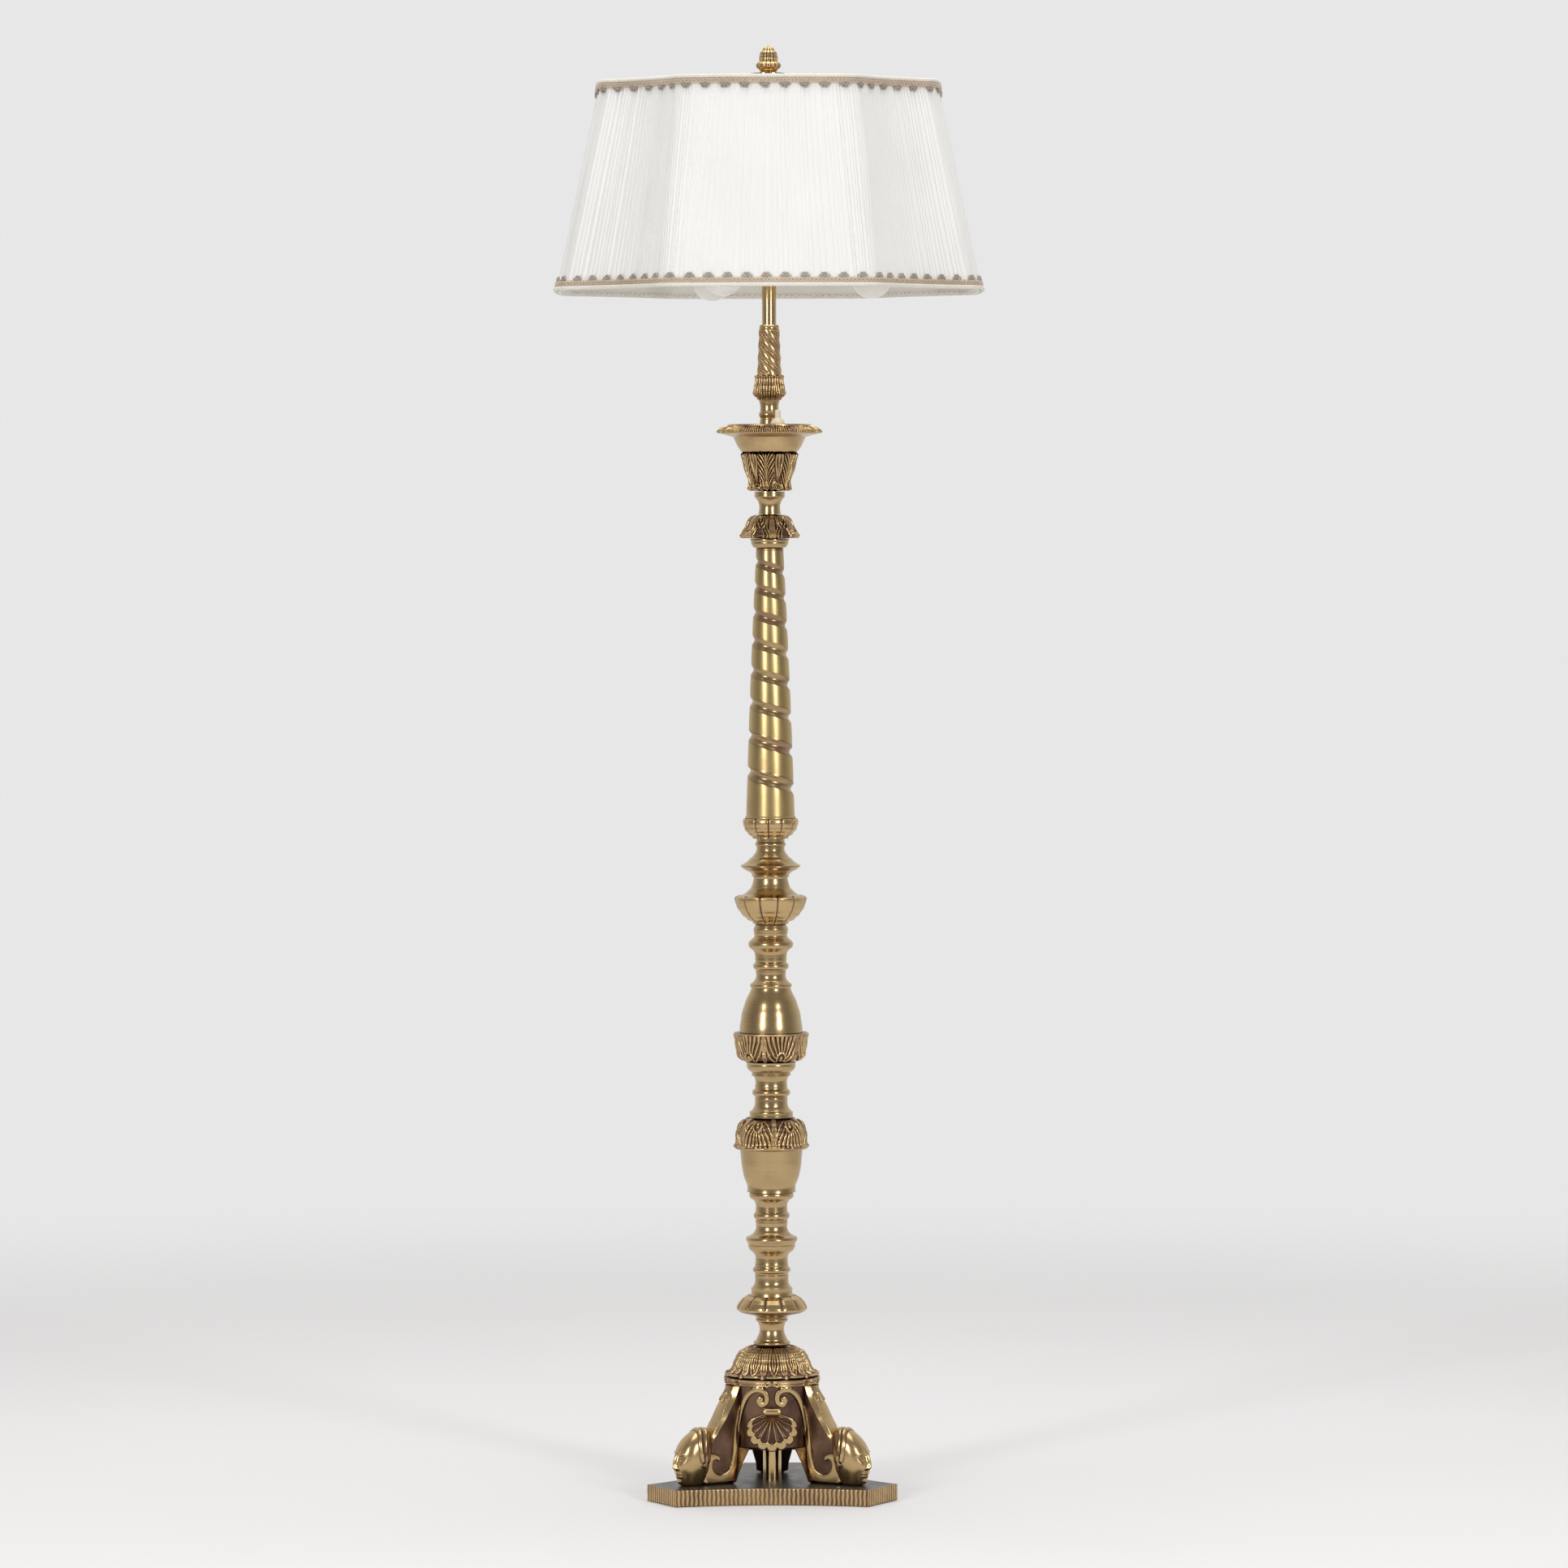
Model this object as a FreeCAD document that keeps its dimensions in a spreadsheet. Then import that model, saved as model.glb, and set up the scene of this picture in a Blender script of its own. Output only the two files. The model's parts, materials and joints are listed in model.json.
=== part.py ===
"""Candlestick floor lamp: a brass standard threaded on one rod, under a pleated cut-corner shade.

Lengths are millimetres. The origin is on the floor, on the lamp's axis; +Z is up, -Y is the front.
"""
import FreeCAD, Part
import math
import os
import Sketcher

V = FreeCAD.Vector
UP = V(0, 0, 1)
doc = FreeCAD.newDocument("floor_lamp")
sheet = doc.addObject("Spreadsheet::Sheet", "Sizes")

# ---------------------------------------------------------------- driving sizes
SIZES = {
    # weighted plate: a triangle with cut corners and hollow sides
    "plate_thickness": 18.0,
    "plate_reach": 140.6,          # axis to each cut corner
    "plate_corner_width": 64.0,    # length of each cut corner
    "plate_side_hollow": 16.0,     # how far each long side bends inwards
    "plate_edge_round": 1.5,
    "plate_recess_diameter": 46.0,
    "plate_recess_depth": 9.0,
    "plate_lead_hole": 7.0,
    # the rod that every piece of the standard is threaded on
    "rod_diameter": 10.0,
    "rod_wire_bore": 6.5,
    "rod_above_floor": 1.5,
    "rod_clearance": 0.1,
    "nut_across_flats": 19.0,
    "nut_thickness": 5.0,
    "washer_diameter": 38.0,
    "washer_thickness": 2.0,
    # cord outlet in the edge of the plate
    "bush_flange_diameter": 12.0,
    "bush_flange_thickness": 2.5,
    "bush_length": 16.0,
    "bush_bore": 5.5,
    "bush_clearance": 0.1,
    # tripod casting
    "tripod_rise": 107.0,
    "crown_top_diameter": 102.0,
    "crown_foot_diameter": 96.0,
    "crown_wall": 6.0,
    "crown_deck": 8.0,
    "crown_drop": 66.5,            # how far the crown hangs below its deck's top
    "leg_thickness": 25.0,
    "leg_foot_inside": 54.0,
    "leg_foot_outside": 92.0,
    "leg_heel_rise": 34.0,
    "leg_knee_reach": 77.0,
    "leg_knee_rise": 58.0,
    "leg_shoulder_reach": 53.0,
    "leg_inside_reach": 36.0,
    "leg_inside_rise": 42.0,
    "leg_calf_hollow": 0.8,
    "leg_arch_hollow": 3.0,
    "hook_reach": 70.0,
    "hook_rise": 19.0,
    "hook_diameter": 34.0,
    "hook_hollow": 19.0,
    "hook_proud": 2.0,
    "tube_diameter": 20.0,
    "tube_wall": 1.5,
    # heads on the feet
    "head_rise": 61.0,
    "head_width": 38.0,
    "head_depth": 30.0,
    "head_gap": 0.3,
    "hood_roll": 4.0,
    # shells between the legs
    "shell_width": 57.0,
    "shell_rise": 44.0,
    "shell_lobes": 9,
    "shell_thickness": 4.0,
    "shell_gap": 0.3,
    "shell_drop": 1.5,             # how far the shell hangs below the crown
    "shell_span_share": 0.46,      # of the width, from the middle to where the lobes meet
    "shell_fall_share": 0.62,      # of the height, likewise
    "shell_swell_share": 0.05,     # of the width, how far each lobe swells out
    "shell_centre_share": 0.65,    # of the height, from the shell's foot to its hinge
    # spiral column
    "spiral_turns": 8.5,
    "spiral_groove_depth": 2.4,
    "spiral_groove_radius": 5.0,
    # rope sleeve
    "rope_strands": 5,
    "rope_rise": 50.0,
    "rope_foot_diameter": 27.4,
    "rope_top_diameter": 23.0,
    "rope_strand_depth": 2.0,
    "rope_twist": 300.0,           # degrees, left handed
    # drip pan
    "pan_dish_depth": 6.0,
    "pan_dish_diameter": 84.0,
    "pan_dish_round": 1.5,
    # push switch in the pan
    "switch_offset": 25.6,
    "switch_bearing": 69.0,        # degrees from +X towards the front
    "switch_body_diameter": 16.0,
    "switch_body_rise": 12.0,
    "switch_button_diameter": 6.4,
    "switch_button_rise": 9.5,
    "switch_button_seat": 8.0,
    "switch_travel": 3.0,
    "switch_clearance": 0.1,
    "switch_lip": 1.6,
    "switch_shoulder": 1.0,
    # upper tube and lamp cluster
    "upper_tube_diameter": 15.7,
    "upper_tube_rise": 147.0,
    "cluster_radius": 113.0,
    "cluster_bearing": 4.0,
    "arm_diameter": 10.0,
    "arm_bore": 7.5,
    "arm_bend": 24.0,
    "arm_above_hub_foot": 19.0,
    "holder_diameter": 27.0,
    "holder_wall": 1.5,
    "holder_rise": 62.0,
    "holder_skirt": 20.0,
    "holder_below_arm": 6.0,
    "socket_depth": 16.0,
    "socket_gap": 0.5,
    "cap_diameter": 13.8,
    "cap_rise": 22.0,
    "cap_clearance": 0.1,
    "bulb_diameter": 45.0,
    "bulb_neck_diameter": 21.0,
    "bulb_length": 80.5,
    # shade
    "shade_foot": 1328.0,
    "shade_rise": 229.0,
    "shade_foot_reach": 230.0,
    "shade_top_reach": 182.0,
    "shade_foot_face": 107.0,
    "shade_top_face": 86.0,
    "shade_corner_hollow": 8.0,
    "shade_face_bow": 4.0,
    "shade_corner_softness": 16.0,
    "cover_thickness": 2.2,
    "frame_wire": 3.0,
    "lining_thickness": 0.9,
    "layer_gap": 0.3,
    "trim_width": 13.0,
    "trim_thickness": 2.0,
    "spider_hub_diameter": 26.0,
    "spider_hub_thickness": 3.0,
    "spider_rise": 8.0,            # hub top above the shade's top ring
    "spider_clearance": 0.1,
    "seat_nut_diameter": 22.0,
    "seat_nut_rise": 8.0,
    "seat_gap": 0.3,
    "cover_disc_thickness": 3.0,
    "cover_disc_diameter": 40.0,
    "finial_clearance": 0.1,
    "finial_thread_depth": 16.0,
    "rod_tip_gap": 1.0,
    # walls inside the hollow turned pieces
    "turned_end_wall": 3.0,
}

# ---------------------------------------------------------------- turned profiles
# Each piece: diameter of its foot, diameter of the hollow inside it (0 for none), then its mouldings
# from the foot up as (name, rise, diameter at the moulding's top, bulge of its outline).
PROFILES = {
    "ribbon_band": (103.0, 88.0, (
        ("low_reed", 3.0, 105.0, 1.0), ("mid_reed", 3.0, 106.0, 1.0), ("top_reed", 3.0, 106.0, 1.0))),
    "acanthus_dome": (105.0, 34.0, (
        ("egg_border", 4.5, 99.0, 1.5), ("skirt", 7.0, 87.2, -1.2), ("shoulder", 7.0, 81.0, 0.4),
        ("crest", 4.5, 76.5, 0.6), ("leaf_tops", 5.0, 65.7, 1.0), ("roof", 5.0, 42.0, 1.0))),
    "neck_waist": (38.0, 0.0, (
        ("ring", 5.0, 35.5, 2.0), ("taper", 5.0, 31.0, 0.0), ("waist", 8.0, 26.6, -0.6),
        ("flare", 8.0, 32.0, -0.6), ("bead", 4.0, 34.0, 1.4), ("cone", 5.0, 52.0, -1.0))),
    "gadroon_dish": (56.0, 38.0, (
        ("lobes", 6.0, 72.0, 1.4), ("rim", 4.0, 78.4, 0.8), ("slope", 7.0, 65.5, 1.5),
        ("collar", 3.0, 55.0, 0.0))),
    "lower_baluster": (53.0, 0.0, (
        ("foot", 8.0, 46.6, -0.8), ("cove", 10.0, 37.0, -1.6), ("throat", 7.0, 37.0, 0.0),
        ("ring", 7.0, 37.0, 2.4), ("neck", 9.0, 35.3, 0.0), ("flare", 7.0, 42.0, -0.8))),
    "ring_cup": (42.0, 28.0, (
        ("cup", 9.0, 52.0, 1.6), ("band", 3.0, 55.0, 0.0), ("torus", 5.0, 55.0, 1.0),
        ("lip", 2.0, 46.0, 0.0))),
    "vase_foot": (46.0, 0.0, (
        ("cove", 13.5, 35.4, -2.6), ("throat", 4.0, 35.5, 0.0), ("ring", 8.0, 35.5, 2.2),
        ("neck", 6.0, 34.6, 0.0), ("flare", 8.0, 42.0, -1.0), ("collar", 8.5, 46.5, 2.4))),
    "lower_vase": (46.5, 38.0, (
        ("foot", 8.5, 54.0, -0.6), ("belly", 13.5, 63.0, 0.8), ("shoulder", 13.5, 67.1, 0.4),
        ("rim", 11.5, 69.3, 0.0))),
    "lower_leaf_skirt": (79.0, 46.0, (
        ("leaf_tips", 4.5, 84.2, 0.8), ("tip_roll", 4.0, 79.5, -0.6), ("drum", 4.0, 79.2, 0.0),
        ("shoulder", 11.0, 76.0, 1.0), ("crest", 8.0, 67.0, 1.0), ("roof", 4.0, 54.5, 0.4))),
    "middle_baluster": (54.4, 0.0, (
        ("foot", 6.0, 48.0, 0.0), ("cove", 11.0, 36.2, -2.0), ("throat", 6.0, 36.0, 0.0),
        ("ring", 8.5, 36.0, 3.0), ("neck", 7.0, 34.7, 0.0), ("flare", 7.5, 40.0, -0.8))),
    "cup_ring": (43.0, 28.0, (
        ("foot", 4.0, 43.0, 0.0), ("torus", 9.0, 54.0, 2.0), ("lip", 2.0, 55.5, 0.0))),
    "upper_leaf_cup": (57.0, 46.0, (
        ("volutes", 4.0, 70.7, 0.8), ("belly", 8.0, 77.0, 1.4), ("leaves", 11.0, 80.5, 0.4),
        ("leaf_tips", 8.0, 85.5, -0.6), ("lip", 2.0, 82.0, 0.0))),
    "upper_vase": (69.6, 34.0, (
        ("rim", 14.0, 66.2, 0.6), ("belly", 13.5, 60.4, 0.8), ("shoulder", 13.5, 50.1, 0.6),
        ("neck", 8.0, 43.4, -0.5))),
    "ringed_baluster": (43.4, 0.0, (
        ("low_ring", 5.0, 43.4, 1.5), ("cove", 11.0, 32.8, -2.0), ("throat", 4.0, 34.0, 0.0),
        ("mid_ring", 8.0, 34.0, 2.7), ("neck", 6.0, 35.0, 0.0), ("flare", 9.0, 43.5, -1.5),
        ("edge_ring", 10.0, 43.5, 3.0), ("taper", 5.0, 35.8, -0.6), ("swell", 7.5, 38.3, 0.5),
        ("top_neck", 5.5, 33.0, 0.0))),
    "reeded_bowl": (36.0, 26.0, (
        ("foot", 2.0, 39.4, 0.0), ("base", 5.0, 56.4, 1.0), ("bowl", 5.5, 66.2, 0.8),
        ("belly", 8.0, 76.0, 0.8), ("rim", 8.0, 80.2, 0.4), ("lip", 2.5, 72.0, 0.4))),
    "saddle": (70.7, 0.0, (
        ("flare", 5.5, 49.7, -1.5), ("cove", 5.5, 41.5, -0.8), ("neck", 8.0, 37.6, -0.3),
        ("collar", 2.0, 39.0, 0.0))),
    "edge_disc": (40.7, 0.0, (
        ("foot", 2.0, 41.0, 0.0), ("under", 4.0, 51.6, -0.5), ("slope", 5.0, 65.8, 0.4),
        ("edge", 1.5, 65.8, 0.0), ("top", 7.0, 46.0, -0.8), ("neck", 4.5, 37.0, -0.4))),
    "column_bead": (36.7, 0.0, (
        ("taper", 6.0, 30.8, -0.5), ("neck", 3.0, 31.0, 0.0), ("bead", 5.0, 31.0, 1.5),
        ("collar", 4.0, 31.5, 0.0))),
    "fluted_cup": (33.0, 24.0, (
        ("foot", 2.0, 40.0, 0.0), ("base", 5.0, 51.6, 1.0), ("bowl", 5.5, 58.4, 1.0),
        ("rim", 7.0, 61.3, 0.6), ("lip", 2.5, 58.0, 0.4))),
    "spiral_column": (55.5, 20.0, (
        ("foot_ring", 3.0, 53.4, 0.5), ("shaft", 292.0, 30.2, 0.9), ("top_ring", 3.0, 29.0, 0.4))),
    "column_cap": (33.0, 0.0, (
        ("low_ring", 3.0, 38.9, 0.6), ("mid_ring", 3.5, 40.7, 0.6), ("top_ring", 3.5, 42.0, 0.6))),
    "leaf_bell": (61.0, 24.0, (
        ("leaf_tips", 4.0, 67.4, 0.6), ("tip_roll", 5.5, 60.5, -0.6), ("bell", 8.0, 52.0, -0.4),
        ("shoulder", 6.0, 44.5, 0.4), ("roof", 3.5, 31.0, 0.6))),
    "candle_neck": (25.0, 0.0, (
        ("foot", 1.5, 25.0, 0.0), ("waist", 7.0, 22.7, -0.4), ("flare", 9.0, 30.0, -0.8),
        ("bead", 3.0, 33.6, 0.6), ("collar", 4.5, 33.6, 0.0))),
    "acanthus_cup": (42.0, 30.0, (
        ("volutes", 3.0, 49.7, 0.6), ("waist", 8.0, 47.0, -0.4), ("leaves", 8.0, 52.0, -0.3),
        ("belly", 8.5, 57.7, 0.3), ("leaf_backs", 12.5, 64.4, -0.4), ("lip", 3.0, 60.0, 0.6))),
    "drip_pan": (60.0, 0.0, (
        ("foot", 1.0, 62.3, 0.0), ("bowl", 5.0, 69.5, 0.4), ("belly", 5.5, 74.7, 0.3),
        ("brim", 5.5, 80.0, 0.0), ("under_rim", 4.5, 115.5, -1.5), ("rim_edge", 3.5, 113.6, 0.8),
        ("rim_top", 5.0, 94.0, 1.2), ("lip", 1.0, 90.0, 0.2))),
    "stem_neck": (27.0, 0.0, (
        ("foot", 4.0, 22.0, -0.4), ("rise", 9.0, 19.7, 0.0), ("ring", 7.0, 20.0, 1.7),
        ("throat", 6.0, 20.0, 0.0), ("flare", 7.0, 24.0, -0.4))),
    "small_leaf_cup": (26.0, 0.0, (
        ("foot", 2.0, 28.3, 0.0), ("volutes", 5.0, 37.0, 0.8), ("leaves", 8.0, 34.5, -0.4),
        ("waist", 8.0, 31.5, -0.3), ("leaf_tips", 3.0, 33.2, 0.0), ("lip", 1.0, 31.0, 0.0))),
    "stem_ring": (21.0, 0.0, (("ring", 5.0, 19.0, 0.9),)),
    "cluster_hub": (24.0, 0.0, (
        ("cup", 8.0, 32.0, 2.0), ("body", 22.0, 32.0, 0.0), ("roof", 8.0, 16.0, 1.5))),
    "finial": (17.4, 0.0, (
        ("cone", 5.5, 24.0, -0.8), ("bead_collar", 5.5, 25.0, 1.6), ("cup", 2.0, 20.0, 0.3),
        ("body", 6.0, 20.0, 0.5), ("shoulder", 6.0, 14.0, 0.8), ("tip", 5.0, 3.0, 1.0))),
}

# The turned pieces that stand on each other, from the tripod's deck up.
LOWER_STACK = (
    "ribbon_band", "acanthus_dome", "neck_waist", "gadroon_dish", "lower_baluster", "ring_cup",
    "vase_foot", "lower_vase", "lower_leaf_skirt", "middle_baluster", "cup_ring", "upper_leaf_cup",
    "upper_vase", "ringed_baluster", "reeded_bowl", "saddle", "edge_disc", "column_bead",
    "fluted_cup", "spiral_column", "column_cap", "leaf_bell", "candle_neck", "acanthus_cup",
    "drip_pan",
)
# Round forms of one head: half depth, half width and half height, then how far forward and up its
# middle sits, as shares of the head's depth, width and height.
HEAD_FORMS = {
    "skull": (0.72, 0.5, 0.47, 0.12, 0.53),
    "jaw": (0.62, 0.42, 0.34, 0.30, 0.33),
    "nose": (0.12, 0.09, 0.13, 0.88, 0.43),
}
LEG_BEARINGS = (90.0, 210.0, 330.0)
FACE_BEARINGS = (270.0, 30.0, 150.0)


def fill_sheet():
    """Write every driving size into its own named cell."""
    rows = dict(SIZES)
    for piece, (foot, hollow, mouldings) in PROFILES.items():
        rows[piece + "_foot_diameter"] = foot
        rows[piece + "_hollow"] = hollow
        for name, rise, diameter, bulge in mouldings:
            rows[piece + "_" + name + "_rise"] = rise
            rows[piece + "_" + name + "_diameter"] = diameter
            rows[piece + "_" + name + "_bulge"] = bulge
    for row, (alias, value) in enumerate(rows.items(), start=1):
        sheet.set("A%d" % row, alias)
        sheet.set("B%d" % row, repr(float(value)))
        sheet.setAlias("B%d" % row, alias)
    doc.recompute()


def size(alias):
    """The value that stands in a named cell."""
    return float(sheet.get(alias))


def cell(alias):
    return "Sizes." + alias


def rises(piece, upto=None):
    """Expression for a turned piece's height, or for its height below one moulding's top."""
    terms = []
    for name, *_ in PROFILES[piece][2]:
        terms.append(cell(piece + "_" + name + "_rise"))
        if name == upto:
            break
    return " + ".join(terms)


def rise_value(piece):
    return sum(size(piece + "_" + name + "_rise") for name, *_ in PROFILES[piece][2])


# ---------------------------------------------------------------- sketch helpers
def new_body(label):
    body = doc.addObject("PartDesign::Body", label)
    body.Label = label
    return body


def origin_plane(body, role):
    return next(item for item in body.Origin.OriginFeatures if item.Role == role)


def new_sketch(body, name, role="XZ_Plane"):
    sketch = body.newObject("Sketcher::SketchObject", name)
    sketch.AttachmentSupport = [(origin_plane(body, role), "")]
    sketch.MapMode = "FlatFace"
    return sketch


def bind(sketch, constraint, name, expression):
    """Add a named driving constraint and tie it to the sheet."""
    index = sketch.addConstraint(constraint)
    sketch.renameConstraint(index, name)
    sketch.setExpression("Constraints." + name, expression)


def place(sketch, geometry, point, tag, across, along):
    """Fix one vertex; across and along are (value, expression) from the sketch's origin."""
    for kind, letter, (value, expression) in (("DistanceX", "x", across), ("DistanceY", "y", along)):
        if abs(value) < 1e-9:
            axis = -2 if kind == "DistanceX" else -1
            sketch.addConstraint(Sketcher.Constraint("PointOnObject", geometry, point, axis))
        elif value > 0:
            rule = Sketcher.Constraint(kind, -1, 1, geometry, point, value)
            bind(sketch, rule, letter + tag, expression)
        else:
            rule = Sketcher.Constraint(kind, geometry, point, -1, 1, -value)
            bind(sketch, rule, letter + tag, "-(" + expression + ")")


def arc_between(start, end, bulge):
    """Arc from start to end whose middle stands off the chord by bulge, to the right of travel."""
    chord = end - start
    side = V(chord.y, -chord.x, 0).normalize()
    middle = (start + end) * 0.5 + side * bulge
    return Part.Arc(start, middle, end)


def outline(sketch, points, bulges=None):
    """Closed outline through points, each (x value, x expression, y value, y expression).

    bulges maps a segment's index to (value, expression): that side is an arc standing off to the
    right of the direction of travel, or to the left where the value is negative.
    """
    bulges = bulges or {}
    corners = [V(x_value, y_value, 0) for x_value, _, y_value, _ in points]
    count = len(points)
    ends = []
    for index in range(count):
        start, end = corners[index], corners[(index + 1) % count]
        bulge = bulges.get(index)
        if bulge is None or abs(bulge[0]) < 1e-6:
            geometry = sketch.addGeometry(Part.LineSegment(start, end), False)
            ends.append((geometry, 1, 2))
            continue
        geometry = sketch.addGeometry(arc_between(start, end, bulge[0]), False)
        forward = (sketch.getPoint(geometry, 1) - start).Length < 1e-4
        ends.append((geometry, 1, 2) if forward else (geometry, 2, 1))
    for index in range(count):
        geometry, _, last = ends[index]
        following, first, _ = ends[(index + 1) % count]
        sketch.addConstraint(Sketcher.Constraint("Coincident", geometry, last, following, first))
    for index, (x_value, x_rule, y_value, y_rule) in enumerate(points):
        geometry, first, _ = ends[index]
        place(sketch, geometry, first, str(index), (x_value, x_rule), (y_value, y_rule))
    for index, bulge in bulges.items():
        if abs(bulge[0]) < 1e-6:
            continue
        _, x_start, _, y_start = points[index]
        _, x_end, _, y_end = points[(index + 1) % count]
        chord = "(((%s) - (%s))^2 + ((%s) - (%s))^2)" % (x_end, x_start, y_end, y_start)
        radius = "(%s / 4 + (%s)^2) / (2 * abs(%s))" % (chord, bulge[1], bulge[1])
        geometry = ends[index][0]
        value = sketch.Geometry[geometry].Radius
        bind(sketch, Sketcher.Constraint("Radius", geometry, value), "arc%d" % index, radius)


def revolve(body, sketch, name="Revolution", kind="PartDesign::Revolution"):
    feature = body.newObject(kind, name)
    feature.Profile = sketch
    feature.ReferenceAxis = (sketch, ["V_Axis"])
    feature.Angle = 360.0
    sketch.Visibility = False
    body.Tip = feature
    return feature


def stand(item, expression):
    """Stand a piece at a height that follows the pieces below it."""
    item.setExpression(".Placement.Base.z", expression)


# ---------------------------------------------------------------- turned pieces
def turned(piece, bore="rod_diameter", blind=None):
    """A piece turned or cast round the rod, hollow where its profile says so.

    blind names the depth of a bore that stops inside the piece.
    """
    foot, hollow, mouldings = PROFILES[piece]
    bore_value = size(bore) / 2 + size("rod_clearance")
    bore_rule = "%s / 2 + %s" % (cell(bore), cell("rod_clearance"))
    points = [(bore_value, bore_rule, 0.0, "0"),
              (foot / 2, cell(piece + "_foot_diameter") + " / 2", 0.0, "0")]
    bulges = {}
    height = 0.0
    for name, rise, diameter, bulge in mouldings:
        stem = piece + "_" + name
        height += rise
        bulges[len(points) - 1] = (bulge, cell(stem + "_bulge"))
        points.append((diameter / 2, cell(stem + "_diameter") + " / 2", height, rises(piece, name)))
    total = rises(piece)
    if blind:
        points += [(0.0, "0", height, total), (0.0, "0", size(blind), cell(blind)),
                   (bore_value, bore_rule, size(blind), cell(blind))]
    else:
        points.append((bore_value, bore_rule, height, total))
    if hollow:
        wall = size("turned_end_wall")
        wall_rule = cell("turned_end_wall")
        hollow_rule = cell(piece + "_hollow") + " / 2"
        upper_rule = total + " - " + wall_rule
        points += [(bore_value, bore_rule, height - wall, upper_rule),
                   (hollow / 2, hollow_rule, height - wall, upper_rule),
                   (hollow / 2, hollow_rule, wall, wall_rule),
                   (bore_value, bore_rule, wall, wall_rule)]
    body = new_body(piece)
    sketch = new_sketch(body, piece + "_profile")
    outline(sketch, points, bulges)
    revolve(body, sketch, piece + "_turning")
    return body


def bored_cylinder(label, diameter, bore, rise, diameter_value, bore_value, rise_value_mm):
    """A plain sleeve, washer or tube standing on z = 0 of its own placement."""
    body = new_body(label)
    sketch = new_sketch(body, label + "_profile")
    outline(sketch, [
        (bore_value / 2, "(%s) / 2" % bore, 0.0, "0"),
        (diameter_value / 2, "(%s) / 2" % diameter, 0.0, "0"),
        (diameter_value / 2, "(%s) / 2" % diameter, rise_value_mm, rise),
        (bore_value / 2, "(%s) / 2" % bore, rise_value_mm, rise)])
    revolve(body, sketch, label + "_turning")
    return body


# ---------------------------------------------------------------- foot of the lamp
def turn_about(body, bearing):
    """Turn a whole piece about the lamp's axis."""
    body.Placement = FreeCAD.Placement(V(0, 0, 0), FreeCAD.Rotation(UP, bearing))


def base_plate():
    """Triangular plate: cut corners under the legs, long sides bent inwards, lead hole to the back."""
    body = new_body("base_plate")
    sketch = new_sketch(body, "plate_outline", "XY_Plane")
    reach, half = size("plate_reach"), size("plate_corner_width") / 2
    points = []
    for bearing in LEG_BEARINGS:
        turn = math.radians(bearing)
        for side in (-1, 1):
            rule = "%s * {0}(%g deg) %s %s / 2 * {1}(%g deg)"
            x_value = reach * math.cos(turn) - side * half * math.sin(turn)
            y_value = reach * math.sin(turn) + side * half * math.cos(turn)
            x_sign, y_sign = ("+", "-") if side < 0 else ("-", "+")
            x_rule = (rule % (cell("plate_reach"), bearing, x_sign, cell("plate_corner_width"),
                              bearing)).format("cos", "sin")
            y_rule = (rule % (cell("plate_reach"), bearing, y_sign, cell("plate_corner_width"),
                              bearing)).format("sin", "cos")
            points.append((x_value, x_rule, y_value, y_rule))
    hollow = (-size("plate_side_hollow"), cell("plate_side_hollow"))
    outline(sketch, points, {1: hollow, 3: hollow, 5: hollow})
    pad = body.newObject("PartDesign::Pad", "plate_pad")
    pad.Profile = sketch
    pad.setExpression("Length", cell("plate_thickness"))
    sketch.Visibility = False
    bore_sketch = new_sketch(body, "plate_bore")
    bore = (size("rod_diameter") / 2 + size("rod_clearance"),
            "%s / 2 + %s" % (cell("rod_diameter"), cell("rod_clearance")))
    recess = (size("plate_recess_diameter") / 2, cell("plate_recess_diameter") + " / 2")
    depth = (size("plate_recess_depth"), cell("plate_recess_depth"))
    top = (size("plate_thickness"), cell("plate_thickness"))
    outline(bore_sketch, [(0.0, "0", 0.0, "0"), recess + (0.0, "0"), recess + depth, bore + depth,
                          bore + top, (0.0, "0") + top])
    revolve(body, bore_sketch, "plate_boring", "PartDesign::Groove")
    doc.recompute()
    lead_sketch = new_sketch(body, "plate_lead_hole")
    circle = Part.Circle(V(0, 0, 0), UP, size("plate_lead_hole") / 2)
    hole = lead_sketch.addGeometry(circle, False)
    place(lead_sketch, hole, 3, "hole", (0.0, "0"),
          (size("plate_thickness") / 2, cell("plate_thickness") + " / 2"))
    bind(lead_sketch, Sketcher.Constraint("Radius", hole, size("plate_lead_hole") / 2), "hole",
         cell("plate_lead_hole") + " / 2")
    pocket = body.newObject("PartDesign::Pocket", "plate_drilling")
    pocket.Profile = lead_sketch
    pocket.setExpression("Length", cell("plate_reach") + " + 1")
    lead_sketch.Visibility = False
    body.Tip = pocket
    return body


def cord_bush():
    """Flanged bush in the plate's back corner, where the lead would leave."""
    body = new_body("cord_bush")
    sketch = new_sketch(body, "bush_profile")
    bore = (size("bush_bore") / 2, cell("bush_bore") + " / 2")
    barrel = (size("plate_lead_hole") / 2 - size("bush_clearance"),
              "%s / 2 - %s" % (cell("plate_lead_hole"), cell("bush_clearance")))
    flange = (size("bush_flange_diameter") / 2, cell("bush_flange_diameter") + " / 2")
    inner = (-size("bush_length"), "-" + cell("bush_length"))
    outer = (size("bush_flange_thickness"), cell("bush_flange_thickness"))
    outline(sketch, [bore + inner, barrel + inner,
                     barrel + (0.0, "0"), flange + (0.0, "0"), flange + outer, bore + outer])
    revolve(body, sketch, "bush_turning")
    body.Placement = FreeCAD.Placement(V(0, 0, 0), FreeCAD.Rotation(V(1, 0, 0), -90))
    body.setExpression(".Placement.Base.y", cell("plate_reach"))
    stand(body, cell("plate_thickness") + " / 2")
    return body


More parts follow.
